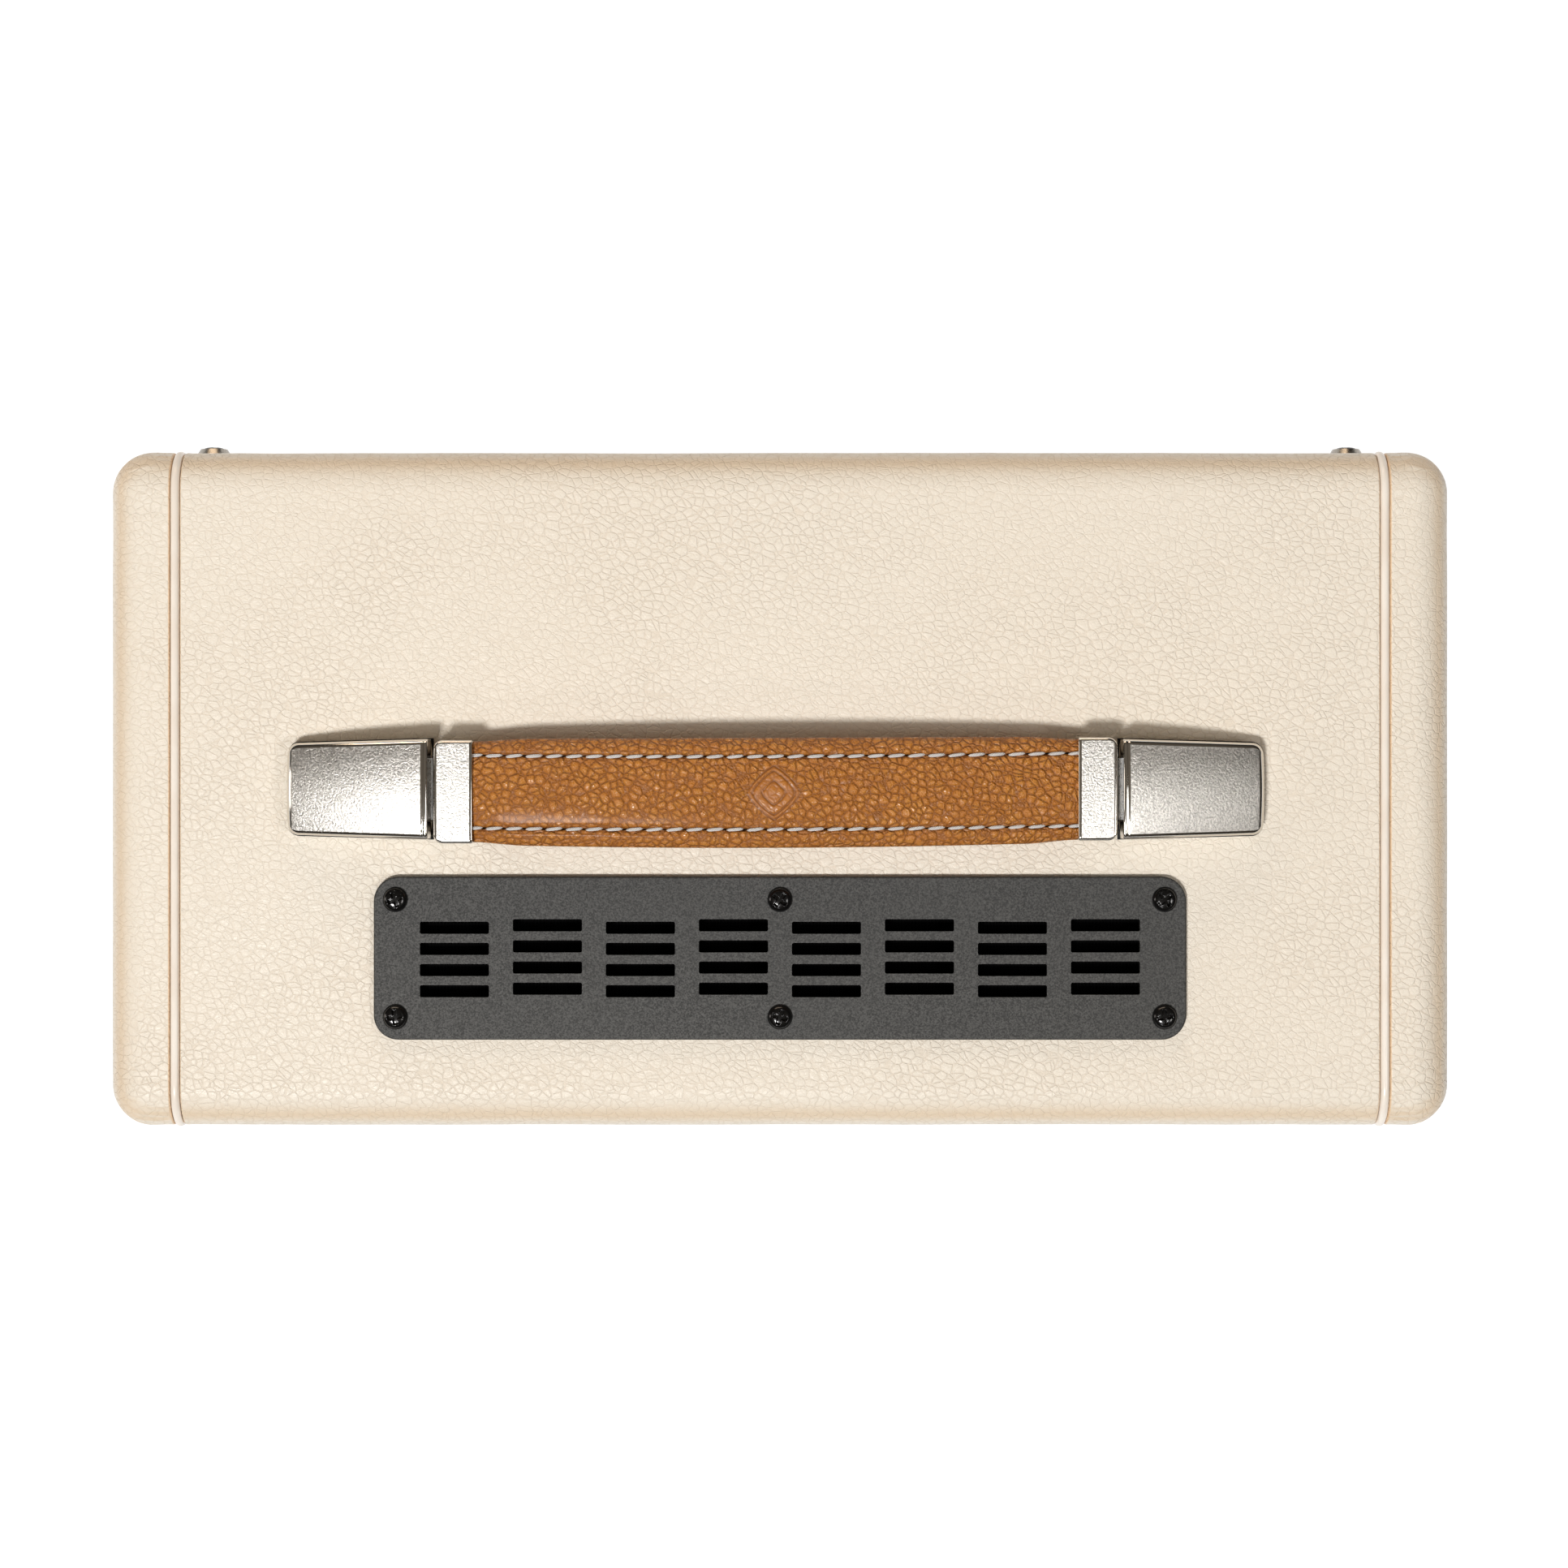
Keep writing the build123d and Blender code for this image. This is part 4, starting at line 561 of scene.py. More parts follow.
CAD_LOOKS = {
    black_wood: ("top_board", "baffle_board", "cleats"),
    birch: ("bottom_board", "left_cheek", "right_cheek"),
    hardboard: ("rear_panel", "grille_frame"),
    dull_nickel: ("rear_cup_washers",),
    zinc: (
        "foot_screws", "handle_bolts", "left_tongue", "right_tongue", "grip_core",
        "tuning_capacitor", "tuning_spindle", "control_pots", "power_switch",
        "speaker_frames", "chassis",
    ),
    brass: ("tuning_drum",),
    chrome: ("power_toggle",),
    coat: ("vent_plate", "connector_plate"),
    bakelite: ("tuning_knob", "volume_knob", "tone_knob", "band_knob"),
    black_plastic: ("battery_bay", "battery_door", "rear_sockets"),
    rubber: ("feet",),
    lacquer: ("control_panel",),
    card: ("dial_scale",),
    window: ("dial_window",),
    jewel: ("pilot_jewel",),
    red_lacquer: ("dial_pointer",),
    paper: ("left_cone", "right_cone"),
    ferrite: ("speaker_magnets",),
    fibreglass: ("circuit_board",),
    jacket: ("battery_cells",),
    nylon: ("dial_cord",),
}


def dress_cad_nodes():
    """Gives every CAD node that stays in view its own material."""
    for material, names in CAD_LOOKS.items():
        for name in names:
            slots = nodes[name].data.materials
            slots.clear()
            slots.append(material)


# ---- Leathercloth ----
def softness(points):
    """Gentle unevenness of padded leathercloth, in millimetres."""
    return 0.11 * value_noise(points / 34, 1) + 0.05 * value_noise(points / 11, 2)


def board_profile(edge_z, face_z):
    """YZ points and outward normals over a covered board, from the front lip to the rear."""
    up = 1 if face_z > edge_z else -1
    straight = spaced(EDGE_R - HALF_DEPTH, HALF_DEPTH - EDGE_R, 1.25)
    duct = VENT_Y + DUCT_HALF_Y * np.array([-1, 1])
    straight = np.unique(np.round(np.concatenate([straight, duct]), 3))
    lip = spaced(LIP - HALF_DEPTH, 1 - HALF_DEPTH, 2.0)
    centre = EDGE_R - HALF_DEPTH
    front = [
        (np.stack([lip, np.zeros_like(lip)], 1), [(0, -1)] * len(lip)),
        (arc((1 - HALF_DEPTH, 1), 1.0, 270, 180, 5)[1:-1], arc((0, 0), 1, 270, 180, 5)[1:-1]),
        (arc((centre, 1), EDGE_R, 180, 90, 22)[:-1], arc((0, 0), 1, 180, 90, 22)[:-1]),
    ]
    rise = abs(face_z - edge_z)
    points = np.concatenate([p for p, _ in front])
    normals = np.concatenate([n for _, n in front])
    middle = np.stack([straight, np.full(len(straight), rise)], 1)
    flip = np.array([-1, 1])
    points = np.concatenate([points, middle, points[::-1] * flip])
    normals = np.concatenate([normals, [(0, 1)] * len(middle), normals[::-1] * flip])
    points[:, 1] = edge_z + up * points[:, 1]
    normals[:, 1] *= up
    return points, normals


def pressed_in(x, y):
    """How far the brackets and the vent plate press the leathercloth down near them."""
    dip = np.zeros(len(x))
    pads = [
        ((plate_low[0], plate_high[0]), (plate_low[1], plate_high[1]), 0.15),
        ((bracket_low[0], bracket_high[0]), (-BRACKET_HALF, BRACKET_HALF), 0.2),
        ((left_low[0], left_high[0]), (-BRACKET_HALF, BRACKET_HALF), 0.2),
    ]
    for (x0, x1), (y0, y1), depth in pads:
        outside = np.hypot(x - np.clip(x, x0, x1), y - np.clip(y, y0, y1))
        dip = np.maximum(dip, depth * np.exp(-((outside / 2.2) ** 2)))
    return dip


def board_cover(name, node, edge_z, face_z, vented):
    """Leathercloth round the top or bottom board, dipping to the piping at both ends."""
    profile, normals = board_profile(edge_z, face_z)
    roll = SEAM_IN - SEAM_ROLL * (1 - np.sin(np.radians(np.linspace(90, 0, 7))))
    flat = spaced(0, SEAM_IN - SEAM_ROLL, 1.3)
    flat = np.append(flat, DUCT_HALF_X)
    half = np.unique(np.round(np.concatenate([flat, roll]), 3))
    x = np.concatenate([-half[:0:-1], half])
    rows, columns = len(x), len(profile)
    grid_x = np.repeat(x, columns)
    y, z = np.tile(profile, (rows, 1)).T
    ny, nz = np.tile(normals, (rows, 1)).T
    over = np.clip(np.abs(grid_x) - (SEAM_IN - SEAM_ROLL), 0, SEAM_ROLL)
    sink = SEAM_ROLL - np.sqrt(SEAM_ROLL**2 - over**2)
    move = softness(np.stack([grid_x, y, z], 1)) * (over == 0) - sink
    if vented:
        move -= pressed_in(grid_x, y) * smooth(z, TOP - 1, TOP - 0.1)
    points = np.stack([grid_x, y + ny * move, z + nz * move], 1)
    faces = grid_faces(rows, columns)
    if face_z > edge_z:
        faces = faces[:, ::-1]
    if vented:
        centres = points[faces].mean(axis=1)
        duct = (np.abs(centres[:, 0]) < DUCT_HALF_X) & (centres[:, 2] > TOP - 2)
        faces = faces[~(duct & (np.abs(centres[:, 1] - VENT_Y) < DUCT_HALF_Y))]
    made = piece(name, points, faces, [cream])
    # the "seam" mask for the painted shade in the crevice at the piping
    number(made, "seam", smooth(sink, 0.02, 0.5))
    store_edge_shade(made)
    finish_piece(made, "root", "leathercloth", node)


def ring(step, corner_step):
    """Base points and outward directions round the cabinet's YZ outline, with arc lengths."""
    half_y, half_z = HALF_DEPTH - EDGE_R, (TOP - BASE) / 2 - EDGE_R
    corners = [(half_y, half_z), (-half_y, half_z), (-half_y, -half_z), (half_y, -half_z)]
    base, direction, bend = [], [], []
    for index, corner in enumerate(corners):
        turn = np.radians(spaced(0, 90, math.degrees(corner_step / EDGE_R)) + 90 * index)
        base += [corner] * len(turn)
        direction += np.stack([np.cos(turn), np.sin(turn)], 1).tolist()
        bend += [0.0] * len(turn)
        after = corners[(index + 1) % 4]
        length = math.dist(corner, after)
        fine = np.arange(corner_step, 12, corner_step)
        along = np.concatenate([fine, spaced(12, length - 12, step), length - fine[::-1]])
        share = (along / length)[:, None]
        base += (np.array(corner) * (1 - share) + np.array(after) * share).tolist()
        direction += [direction[-1]] * len(along)
        bend += np.minimum(along, length - along).tolist()
    base = np.array(base) + [0, (TOP + BASE) / 2]
    direction = np.array(direction)
    outline = base + EDGE_R * direction
    steps = np.linalg.norm(np.diff(outline, axis=0, prepend=outline[-1:]), axis=1)
    return base, direction, np.cumsum(steps), np.array(bend)


FOLD_PITCH, FOLD_DEEP = 1.7, 0.30  # of the gathers at the cheeks' corners


def cheek_cover():
    """Leathercloth over the right cheek, gathered where it turns the cabinet's corners."""
    base, direction, along, bend = ring(2.0, 0.42)
    centre = np.array([0, (TOP + BASE) / 2])
    seam = np.radians(np.linspace(0, 90, 7))
    sections = []  # x, edge radius, shrink of the flat face, tilt of the surface
    for a in seam:
        x = CHEEK_IN + SEAM_ROLL * (1 - math.cos(a))
        sections.append((x, EDGE_R - SEAM_ROLL * (1 - math.sin(a)), 1.0, 0.0))
    straight = spaced(CHEEK_IN + SEAM_ROLL, CHEEK_OUT - END_R, 0.6)[1:]
    sections += [(x, EDGE_R, 1.0, 0.0) for x in straight]
    for a in np.radians(np.linspace(0, 90, 22))[1:]:
        x = CHEEK_OUT - END_R * (1 - math.sin(a))
        sections.append((x, EDGE_R - END_R * (1 - math.cos(a)), 1.0, math.sin(a)))
    sections += [(CHEEK_OUT, EDGE_R - END_R, s, 1.0) for s in np.linspace(1, 0.02, 26)[1:]]
    near = 1 - smooth(bend, 1.0, 12.0)
    loops, seam_shades = [], []
    for x, radius, shrink, tilt in sections:
        core = centre + (base - centre) * shrink
        points = on_x(x, core + direction * radius)
        out = x - CHEEK_IN
        wave = np.column_stack([along / FOLD_PITCH, np.full(len(base), out / 10 + 3), along / 40])
        fold = np.abs(value_noise(wave, 5)) ** 0.7 - 0.45
        fade = smooth(out, 0.3, 2.0) * (1 - smooth(out, 9.0, 14.5))
        move = softness(points) * smooth(out, 0, 2) - FOLD_DEEP * fold * near * fade
        normal = on_x(tilt, direction * math.sqrt(max(0.0, 1 - tilt * tilt)))
        loops.append(points + normal * move[:, None])
        # mask for the painted shade where the cover dips to the piping
        seam_shades.append(np.full(len(base), 1 - smooth(out, 0.1, 0.6)))
    made = loft("right_cheek_leather", loops, [cream], cap_end=True)
    number(made, "seam", np.concatenate(seam_shades))
    store_edge_shade(made)
    return made


def piping_bead():
    """Vinyl piping bead that runs round the cabinet in the right seam."""
    base, direction, _, _ = ring(4.0, 0.8)
    middle = (piping_low[0] + piping_high[0]) / 2
    radius = (piping_high[0] - piping_low[0]) / 2
    reach = piping_high[1] - HALF_DEPTH + EDGE_R - radius
    loops = []
    for angle in round_angles(15):
        outline = base + direction * (reach + radius * math.sin(angle))
        loops.append(on_x(middle + radius * math.cos(angle), outline))
    return loft("right_piping_bead", loops + loops[:1], [vinyl])


def build_covers():
    board_cover("top_leather", "top_cover", cover_low[2], TOP, vented=True)
    board_cover("bottom_leather", "bottom_cover", bottom_high[2], BASE, vented=False)
    right, left = finish_pair(cheek_cover(), "root", "leathercloth", "cheek_cover")
    finish_pair(piping_bead(), "root", "piping", "piping")
    rear_leather()
    rail_leather()


EDGE_ROLL, EDGE_SINK = 1.1, 0.85  # how far in, and how deep, the rear leathercloth rolls over
SUNK = 0.12  # how far the soft surface lies inside the CAD face, on average
SOFT_SHARE = 0.7  # how uneven the flat pieces are, against the cabinet's covers


def edged(start, end, step, *cuts):
    """Grid lines from start to end, close together inside both ends and round each cut."""
    roll = np.array([0.0, 0.12, 0.35, 0.7, EDGE_ROLL])
    lines = [start + roll, end - roll, spaced(start, end, step)]
    for low, high in cuts:
        lines += [low - roll, high + roll]
    return np.unique(np.round(np.concatenate(lines), 3))


def rear_leather():
    """Leathercloth on the rear panel, rolled over at its edges and openings."""
    low, high = box_mm("rear_panel_cover")
    door_low, door_high = box_mm("battery_door")
    plate_lo, plate_hi = box_mm("connector_plate")
    under = 5.0  # how far the connector plate laps the leathercloth
    pins = 2.8  # how far the hinge pins reach past the door's sides, behind the leathercloth
    gap = 0.4
    sides = (door_low[0] + pins - gap, door_high[0] - pins + gap)
    holes = [
        (sides, (door_low[2] - 2 * gap, door_high[2] + gap)),
        ((plate_lo[0] + under, plate_hi[0] - under), (plate_lo[2] + under, plate_hi[2] - under)),
    ]
    x = edged(low[0], high[0], 2.5, *[hole[0] for hole in holes])
    z = edged(low[2], high[2], 2.5, *[hole[1] for hole in holes])
    gx, gz = (g.ravel() for g in np.meshgrid(x, z, indexing="ij"))
    to_edge = np.minimum.reduce([gx - low[0], high[0] - gx, gz - low[2], high[2] - gz])
    for (x0, x1), (z0, z1) in holes:
        out_x, out_z = np.maximum(x0 - gx, gx - x1), np.maximum(z0 - gz, gz - z1)
        away = np.hypot(np.maximum(out_x, 0), np.maximum(out_z, 0))
        to_edge = np.minimum(to_edge, np.where(away > 0, away, np.maximum(out_x, out_z)))
    rolled = EDGE_SINK * (1 - np.sqrt(1 - (1 - np.clip(to_edge / EDGE_ROLL, 0, 1)) ** 2))
    flat = np.column_stack([gx, np.full(len(gx), high[1]), gz])
    y = high[1] - SUNK + SOFT_SHARE * softness(flat) - rolled
    faces = grid_faces(len(x), len(z))[:, ::-1]
    points = np.column_stack([gx, y, gz])
    faces = faces[to_edge[faces].min(axis=1) > -1e-6]
    made = piece("rear_leather", points, faces, [cream])
    number(made, "seam", np.zeros(len(points)))
    store_edge_shade(made)
    finish_piece(made, "root", "leathercloth", "rear_panel_cover")


def rail_leather():
    """The front rail, wrapped in leathercloth with soft front edges."""
    low, high = box_mm("front_rail")
    soft = 2.4
    front = low[1] + soft
    face = (low[2] + soft, high[2] - soft)
    flat = spaced(high[1], front, 2)
    above, below = (np.column_stack([flat, np.full(len(flat), z)]) for z in (high[2], low[2]))
    turns = arc((front, face[1]), soft, 90, 180, 9)[1:], arc((front, face[0]), soft, 180, 270, 9)
    section = np.concatenate([above, *turns, below[-2::-1]])
    loops = []
    for x in spaced(low[0], high[0], 2.0):
        points = on_x(x, section)
        inward = np.array([0, (low[1] + high[1]) / 2, (low[2] + high[2]) / 2]) - points
        inward[:, 0] = 0
        sink = SUNK - SOFT_SHARE * softness(points)
        loops.append(points + inward / np.linalg.norm(inward, axis=1)[:, None] * sink[:, None])
    made = loft("front_rail_leather", loops, [cream], cap_start=True, cap_end=True)
    number(made, "seam", np.zeros(len(made.data.vertices)))
    store_edge_shade(made)
    finish_piece(made, "root", "leathercloth", "front_rail")


# ---- Strap ----
STRAP_EDGE_W, STRAP_MID_W = 13.1, 14.25  # half widths at the ferrules and at the middle
SECTION_POWER = 2.8
PAD_H = 0.55  # how much the padding crowns the strap between its stitches
GROOVE_W, GROOVE_DEEP, GROOVE_UNDER = 0.62, 0.62, 0.25
MARK_DEEP = 0.42


def strap_half_width(x):
    return STRAP_EDGE_W + (STRAP_MID_W - STRAP_EDGE_W) * (
        0.55 * smooth(STRAP_END - np.abs(x), 0, 13) + 0.45 * (1 - (x / STRAP_END) ** 2)
    )


def strap_height(x):
    """Height of the strap's centre line."""
    radius = (STRAP_END**2 + STRAP_RISE**2) / (2 * STRAP_RISE)
    return STRAP_MID_Z - (radius - np.sqrt(radius**2 - x**2))


def strap_bow(x):
    """How far the soft strap bows towards the front."""
    share = x / STRAP_END
    return 0.56 * share**2 + 0.31 * share - 1.0


def emblem(x, y):
    """Plain pressed lozenges: where the leather is pressed in, and the flat patch they are on."""
    power = 1.25  # 1 would give straight sides
    reach = (np.abs(x - EMBLEM_X) ** power + np.abs(y) ** power) ** (1 / power)
    lines = [np.exp(-(((reach - middle) / 0.24) ** 2)) for middle in (3.1, 5.6, 6.9)]
    return np.maximum.reduce(lines), 1 - smooth(reach, 6.9, 7.6)


def strap_section(x, count):
    """Loops of the padded strap: a crowned middle, stitch grooves and rolled edges."""
    theta = np.linspace(0, 2 * math.pi, count, endpoint=False)
    power = 2 / SECTION_POWER
    across = np.sign(np.cos(theta)) * np.abs(np.cos(theta)) ** power
    rise = np.sign(np.sin(theta)) * np.abs(np.sin(theta)) ** power
    half = strap_half_width(x)[:, None]
    y = half * across
    side = np.abs(y)
    top = smooth(np.sin(theta), 0.05, 0.35)[None, :]
    groove = np.exp(-(((side - STITCH_Y) / GROOVE_W) ** 2))
    pad = PAD_H * np.clip(1 - (side / (STITCH_Y + 0.6)) ** 2, 0, 1)
    rolled = 0.35 * np.exp(-(((side - half + 2.5) / 1.5) ** 2))
    near = (np.abs(x - EMBLEM_X) < 8)[:, None]
    mark, patch = (part * near for part in emblem(x[:, None], y))
    low = (np.abs(x) / STRAP_END) ** 10
    z = rise * (STRAP_HALF_H - PAD_H - 0.35 * low[:, None])
    z = z + top * (pad + rolled - GROOVE_DEEP * groove - MARK_DEEP * mark)
    z = z - (1 - top) * GROOVE_UNDER * groove * (rise < -0.5)
    grid_x = np.broadcast_to(x[:, None], y.shape)
    points = np.stack([grid_x, y, z + strap_height(x)[:, None]], 2)
    uneven = 0.10 * value_noise(points.reshape(-1, 3) / 6.5, 7).reshape(y.shape)
    points[:, :, 1] += strap_bow(x)[:, None]
    points[:, :, 2] += uneven * top * (1 - patch)
    return points, patch * top, np.maximum(groove, mark) * top


def strap_top(x, y):
    """Height of the strap's upper face at one point, in its stitch groove."""
    half = strap_half_width(np.array([x]))[0]
    rise = (1 - (abs(y) / half) ** SECTION_POWER) ** (1 / SECTION_POWER)
    return strap_height(np.array([x]))[0] + rise * (STRAP_HALF_H - PAD_H) - 0.35


def strap_piece(name, start, end, step, count):
    points, mark, groove = strap_section(spaced(start, end, step), count)
    made = loft(name, points[:, ::-1], [tan])
    number(made, "pressed", mark[:, ::-1].ravel())
    # the "seam" mask: painted shade in the stitch grooves and emblem lines
    number(made, "seam", groove[:, ::-1].ravel())
    return made


def stitch(x, y, rng):
    """One slanted stitch whose ends dive into their holes."""
    t = np.linspace(-1, 1, 11)
    length = STITCH_PITCH * 0.84
    thread_r = 0.44
    angle = round_angles(36)
    slant = 0.20 + rng.uniform(-0.05, 0.05)
    points = []
    for step in t:
        radius = thread_r * max(0.05, 1 - abs(step) ** 3.5) ** 0.5
        cx, cy = x + step * length / 2, y + step * slant
        cz = strap_top(cx, y) + 0.36 - 0.42 * abs(step) ** 3
        ring_y = cy + strap_bow(cx) + radius * np.cos(angle)
        points.append(on_x(cx, np.column_stack([ring_y, cz + radius * np.sin(angle)])))
    return np.concatenate(points), tube_faces(len(t), len(angle))


def needle_hole(x, y):
    """Painted shade in the hollow between two stitches: a small dark sunk lens."""
    angle = round_angles(30)
    points = []
    for scale, lift in ((1.0, 0.0), (0.85, 0.16), (0.45, 0.24)):
        across = y + strap_bow(x) + 0.30 * scale * np.sin(angle) + 0.10 * np.cos(angle)
        height = np.full(len(angle), strap_top(x, y) - 0.30 + lift)
        points.append(np.column_stack([x + 0.80 * scale * np.cos(angle), across, height]))
    faces = tube_faces(3, len(angle))
    return np.concatenate(points), faces[:-2] + faces[:-3:-1]


def build_strap():
    """The strap in three pieces: the middle one rides on the grip, and the two ends stay fixed
    where they are built.
    """
    spans = {
        "left": (-STRAP_END - 1.5, -CENTRE_HALF, 0.9, 208),
        "centre": (-CENTRE_HALF, CENTRE_HALF, 0.2, 416),
        "right": (CENTRE_HALF, STRAP_END + 1.5, 0.9, 208),
    }
    rng = np.random.default_rng(11)
    sewn_count = int(2 * STRAP_END / STITCH_PITCH) + 2
    places = (np.arange(sewn_count) - (sewn_count - 1) / 2) * STITCH_PITCH
    for side, (start, end, step, count) in spans.items():
        strap = strap_piece(f"strap_{side}", start, end, step, count)
        inside = [x for x in places if start < x <= end]
        stitches = [stitch(x, y, rng) for x in inside for y in (-STITCH_Y, STITCH_Y)]
        between = [x + STITCH_PITCH / 2 for x in inside]
        holes = [needle_hole(x, y) for x in between for y in (-STITCH_Y, STITCH_Y)]
        sewn = merged(f"stitches_{side}", stitches, [yarn])
        hole_shades = merged(f"needle_holes_{side}", holes, [hole_shade_black])
        for made in (strap, sewn, hole_shades):
            made.data.transform(Matrix.Translation((HANDLE_X * MM, 0, 0)))
            if side == "centre":
                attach(made, "grip")
                continue
            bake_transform(made)
    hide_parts("handle_grip")


# ---- Brackets and ferrules ----
SHELL = (10, 6, 9, 25)  # points along a shell's bottom, side, shoulder and top


def shell_loop(x, half, low, high, bevel, crown):
    """A closed loop at x: flat bottom, upright sides, rounded shoulders, crowned top."""
    bottom, side, shoulder, across = SHELL
    bevel = min(bevel, half * 0.9, (high - low) * 0.45)
    edge = high - crown
    right_side = np.column_stack([np.full(side, half), np.linspace(low, edge - bevel, side)])
    right_arc = arc((half - bevel, edge - bevel), bevel, 0, 90, shoulder + 1)[1:]
    y = np.linspace(half - bevel, bevel - half, across + 1)[1:-1]
    inner = max(half - bevel, 1e-6)
    top = np.column_stack([y, edge + crown * (1 - (y / inner) ** 2)])
    left_arc = (right_arc * [-1, 1])[::-1]
    left_side = (right_side * [-1, 1])[::-1]
    floor_y = np.linspace(-half, half, bottom + 2)[1:-1]
    floor = np.column_stack([floor_y, np.full(bottom, low)])
    outline = np.concatenate([right_side, right_arc, top, left_arc, left_side, floor])
    return on_x(x, outline)


def end_round(x, end, radius):
    """How much a rounded end of this radius takes off at x."""
    into = np.clip(x - (end - radius), 0, radius)
    return radius - math.sqrt(max(0.0, radius**2 - into**2))


def top_faces(rows, first_row, last_row):
    """Material numbers of a lofted shell: 0 on its blasted top face, 1 elsewhere."""
    bottom, side, shoulder, across = SHELL
    columns = 2 * (side + shoulder) + across - 1 + bottom
    first = side + shoulder - 2
    index = np.ones((rows - 1, columns), int)
    index[first_row:last_row, first : first + across + 3] = 0
    return index.ravel()


BRACKET_INNER, BRACKET_OUTER = ferrule_high[0] + 1.3, bracket_high[0]
BRACKET_END_HALF, BRACKET_CORNER = 11.9, 3.0  # half width and corner radius at its outer end
BRACKET_HEIGHTS = (14.6, 12.0, 6.8)  # above the top, at its inner end, middle and outer end
BRACKET_LIP = 1.25
MOUTH_HALF = 8.6  # half width of the hollow that the tongue slides in
FERRULE_CORNER = 2.6


def bracket():
    """The right end bracket: a blasted wedge with polished shoulders and an inner lip."""
    inner, outer, lip = BRACKET_INNER, BRACKET_OUTER, BRACKET_LIP
    middle = (inner + outer) / 2
    heights = np.polyfit([inner, middle, outer], BRACKET_HEIGHTS, 2)
    half_in = (bracket_high[1] - bracket_low[1]) / 2
    start = inner + np.array([0, 0.12, 0.35, 0.7, lip - 0.18, lip, lip + 0.18, lip + 0.5])
    end = outer - BRACKET_CORNER * quarter(12)
    places = np.concatenate([start, spaced(inner + 2.2, outer - 3.2, 1.4), end])
    loops = []
    for x in places:
        share = (x - inner) / (outer - inner)
        half = half_in + (BRACKET_END_HALF - half_in) * share
        half -= end_round(x, outer, BRACKET_CORNER)
        high = TOP + np.polyval(heights, x) - end_round(x, outer, 1.5)
        high -= 0.30 * max(0.0, 1 - (x - inner) / 0.35) ** 2
        high -= 0.16 * math.exp(-(((x - inner - lip) / 0.14) ** 2))
        loops.append(shell_loop(x, half, TOP, high, 1.7, 0.95))
    mouth = shell_loop(inner, MOUTH_HALF, TOP + 2.6, TOP + 13.0, 0.6, 0.0)
    floor = shell_loop(inner + 22, MOUTH_HALF, TOP + 2.6, TOP + 9.4, 0.6, 0.0)
    rim = shell_loop(inner, half_in - 0.5, TOP + 0.5, TOP + 13.9, 1.4, 0.8)
    loops = [floor, mouth, rim] + loops
    index = top_faces(len(loops), 10, len(loops) - 8)
    return loft("right_bracket_shell", loops, [blasted, polished], index, True, True)


def bracket_shade_pad():
    """A thin black pad under the right bracket, its rim a dark line of painted shade round it."""
    inner, outer = BRACKET_INNER, BRACKET_OUTER
    half_in = bracket_high[1]
    rim = 0.38
    start = [inner - rim, inner - rim + 0.1]
    end = outer + rim - BRACKET_CORNER * quarter(12)
    places = np.concatenate([start, spaced(inner, outer - BRACKET_CORNER, 2.0), end])
    loops = []
    for x in places:
        share = np.clip((x - inner) / (outer - inner), 0, 1)
        half = half_in + (BRACKET_END_HALF - half_in) * share + rim
        half -= end_round(x, outer + rim, BRACKET_CORNER)
        loops.append(shell_loop(x, half, TOP - 0.2, TOP + 0.45, 0.15, 0.0))
    return loft("right_bracket_pad", loops, [rubber], None, True, True)


def ferrule():
    """The right ferrule: a blasted band with polished edges, closed at its outer end."""
    inner, outer = ferrule_low[0], ferrule_high[0]
    half, low, high = ferrule_high[1], ferrule_low[2], ferrule_high[2]
    start, end = inner + np.array([0, 0.15, 0.4, 0.8]), outer - FERRULE_CORNER * quarter(11)
    places = np.concatenate([start, spaced(inner + 1.6, outer - 2.8, 1.0), end])
    loops = [
        shell_loop(inner + deep, half - wall, low + wall, high - wall, 0.5, 0.1)
        for deep, wall in ((4, 0.9), (0, 0.7))
    ]
    for x in places:
        lift = 0.2 * max(0.0, 1 - (x - inner) / 0.4) ** 2
        bevel_off = end_round(x, outer, 0.9) + lift
        wide = half - end_round(x, outer, FERRULE_CORNER) - lift
        loops.append(shell_loop(x, wide, low + bevel_off, high - bevel_off, 1.0, 0.30))
    index = top_faces(len(loops), 5, len(loops) - 7)
    return loft("right_ferrule_band", loops, [blasted, polished], index, True, True)


def build_handle_metal():
    finish_pair(bracket(), "root", "satin_nickel", "bracket", about=HANDLE_X)
    # painted shade: black pads whose rims draw the dark line round each bracket
    finish_pair(bracket_shade_pad(), "root", "foot_rubber", "bracket", replaces=False, about=HANDLE_X)
    bow = strap_bow(-STRAP_END)
    finish_pair(ferrule(), "{side}_end", "satin_nickel", "ferrule", about=HANDLE_X, shift_y=bow)


# ---- Screws ----
def screw_head(radius, height, turn):
    """A domed head with a cross recess, standing on z = 0."""
    around, rings = 144, 34
    angle = np.linspace(0, 2 * math.pi, around, endpoint=False)
    loops = []
    for share in np.linspace(0.02, 1, rings):
        r = radius * share
        dome = height * (1 - share**3.2) ** 0.5
        u = np.abs(r * np.cos(angle - turn))
        v = np.abs(r * np.sin(angle - turn))
        arm = 0.62 * radius
        wide = 0.15 * radius
        across = np.minimum(u, v)
        reach = np.maximum(u, v)
        inside = (1 - smooth(across, wide * 0.85, wide * 1.2)) * (1 - smooth(reach, arm * 0.9, arm))
        middle = 1 - smooth(r, wide * 1.3, wide * 1.9)
        depth = 0.75 * height * np.maximum(inside, middle)
        z = np.maximum(dome - depth, 0.05 * height)
        loops.append(np.column_stack([r * np.cos(angle), r * np.sin(angle), z]))
    skirt = loops[-1].copy()
    skirt[:, 2] = -0.02
    loops.append(skirt)
    points = np.concatenate(loops)
    faces = grid_faces(len(loops), around, wrap=True)[:, ::-1].tolist()
    faces.append(list(range(around)))
    return points, faces


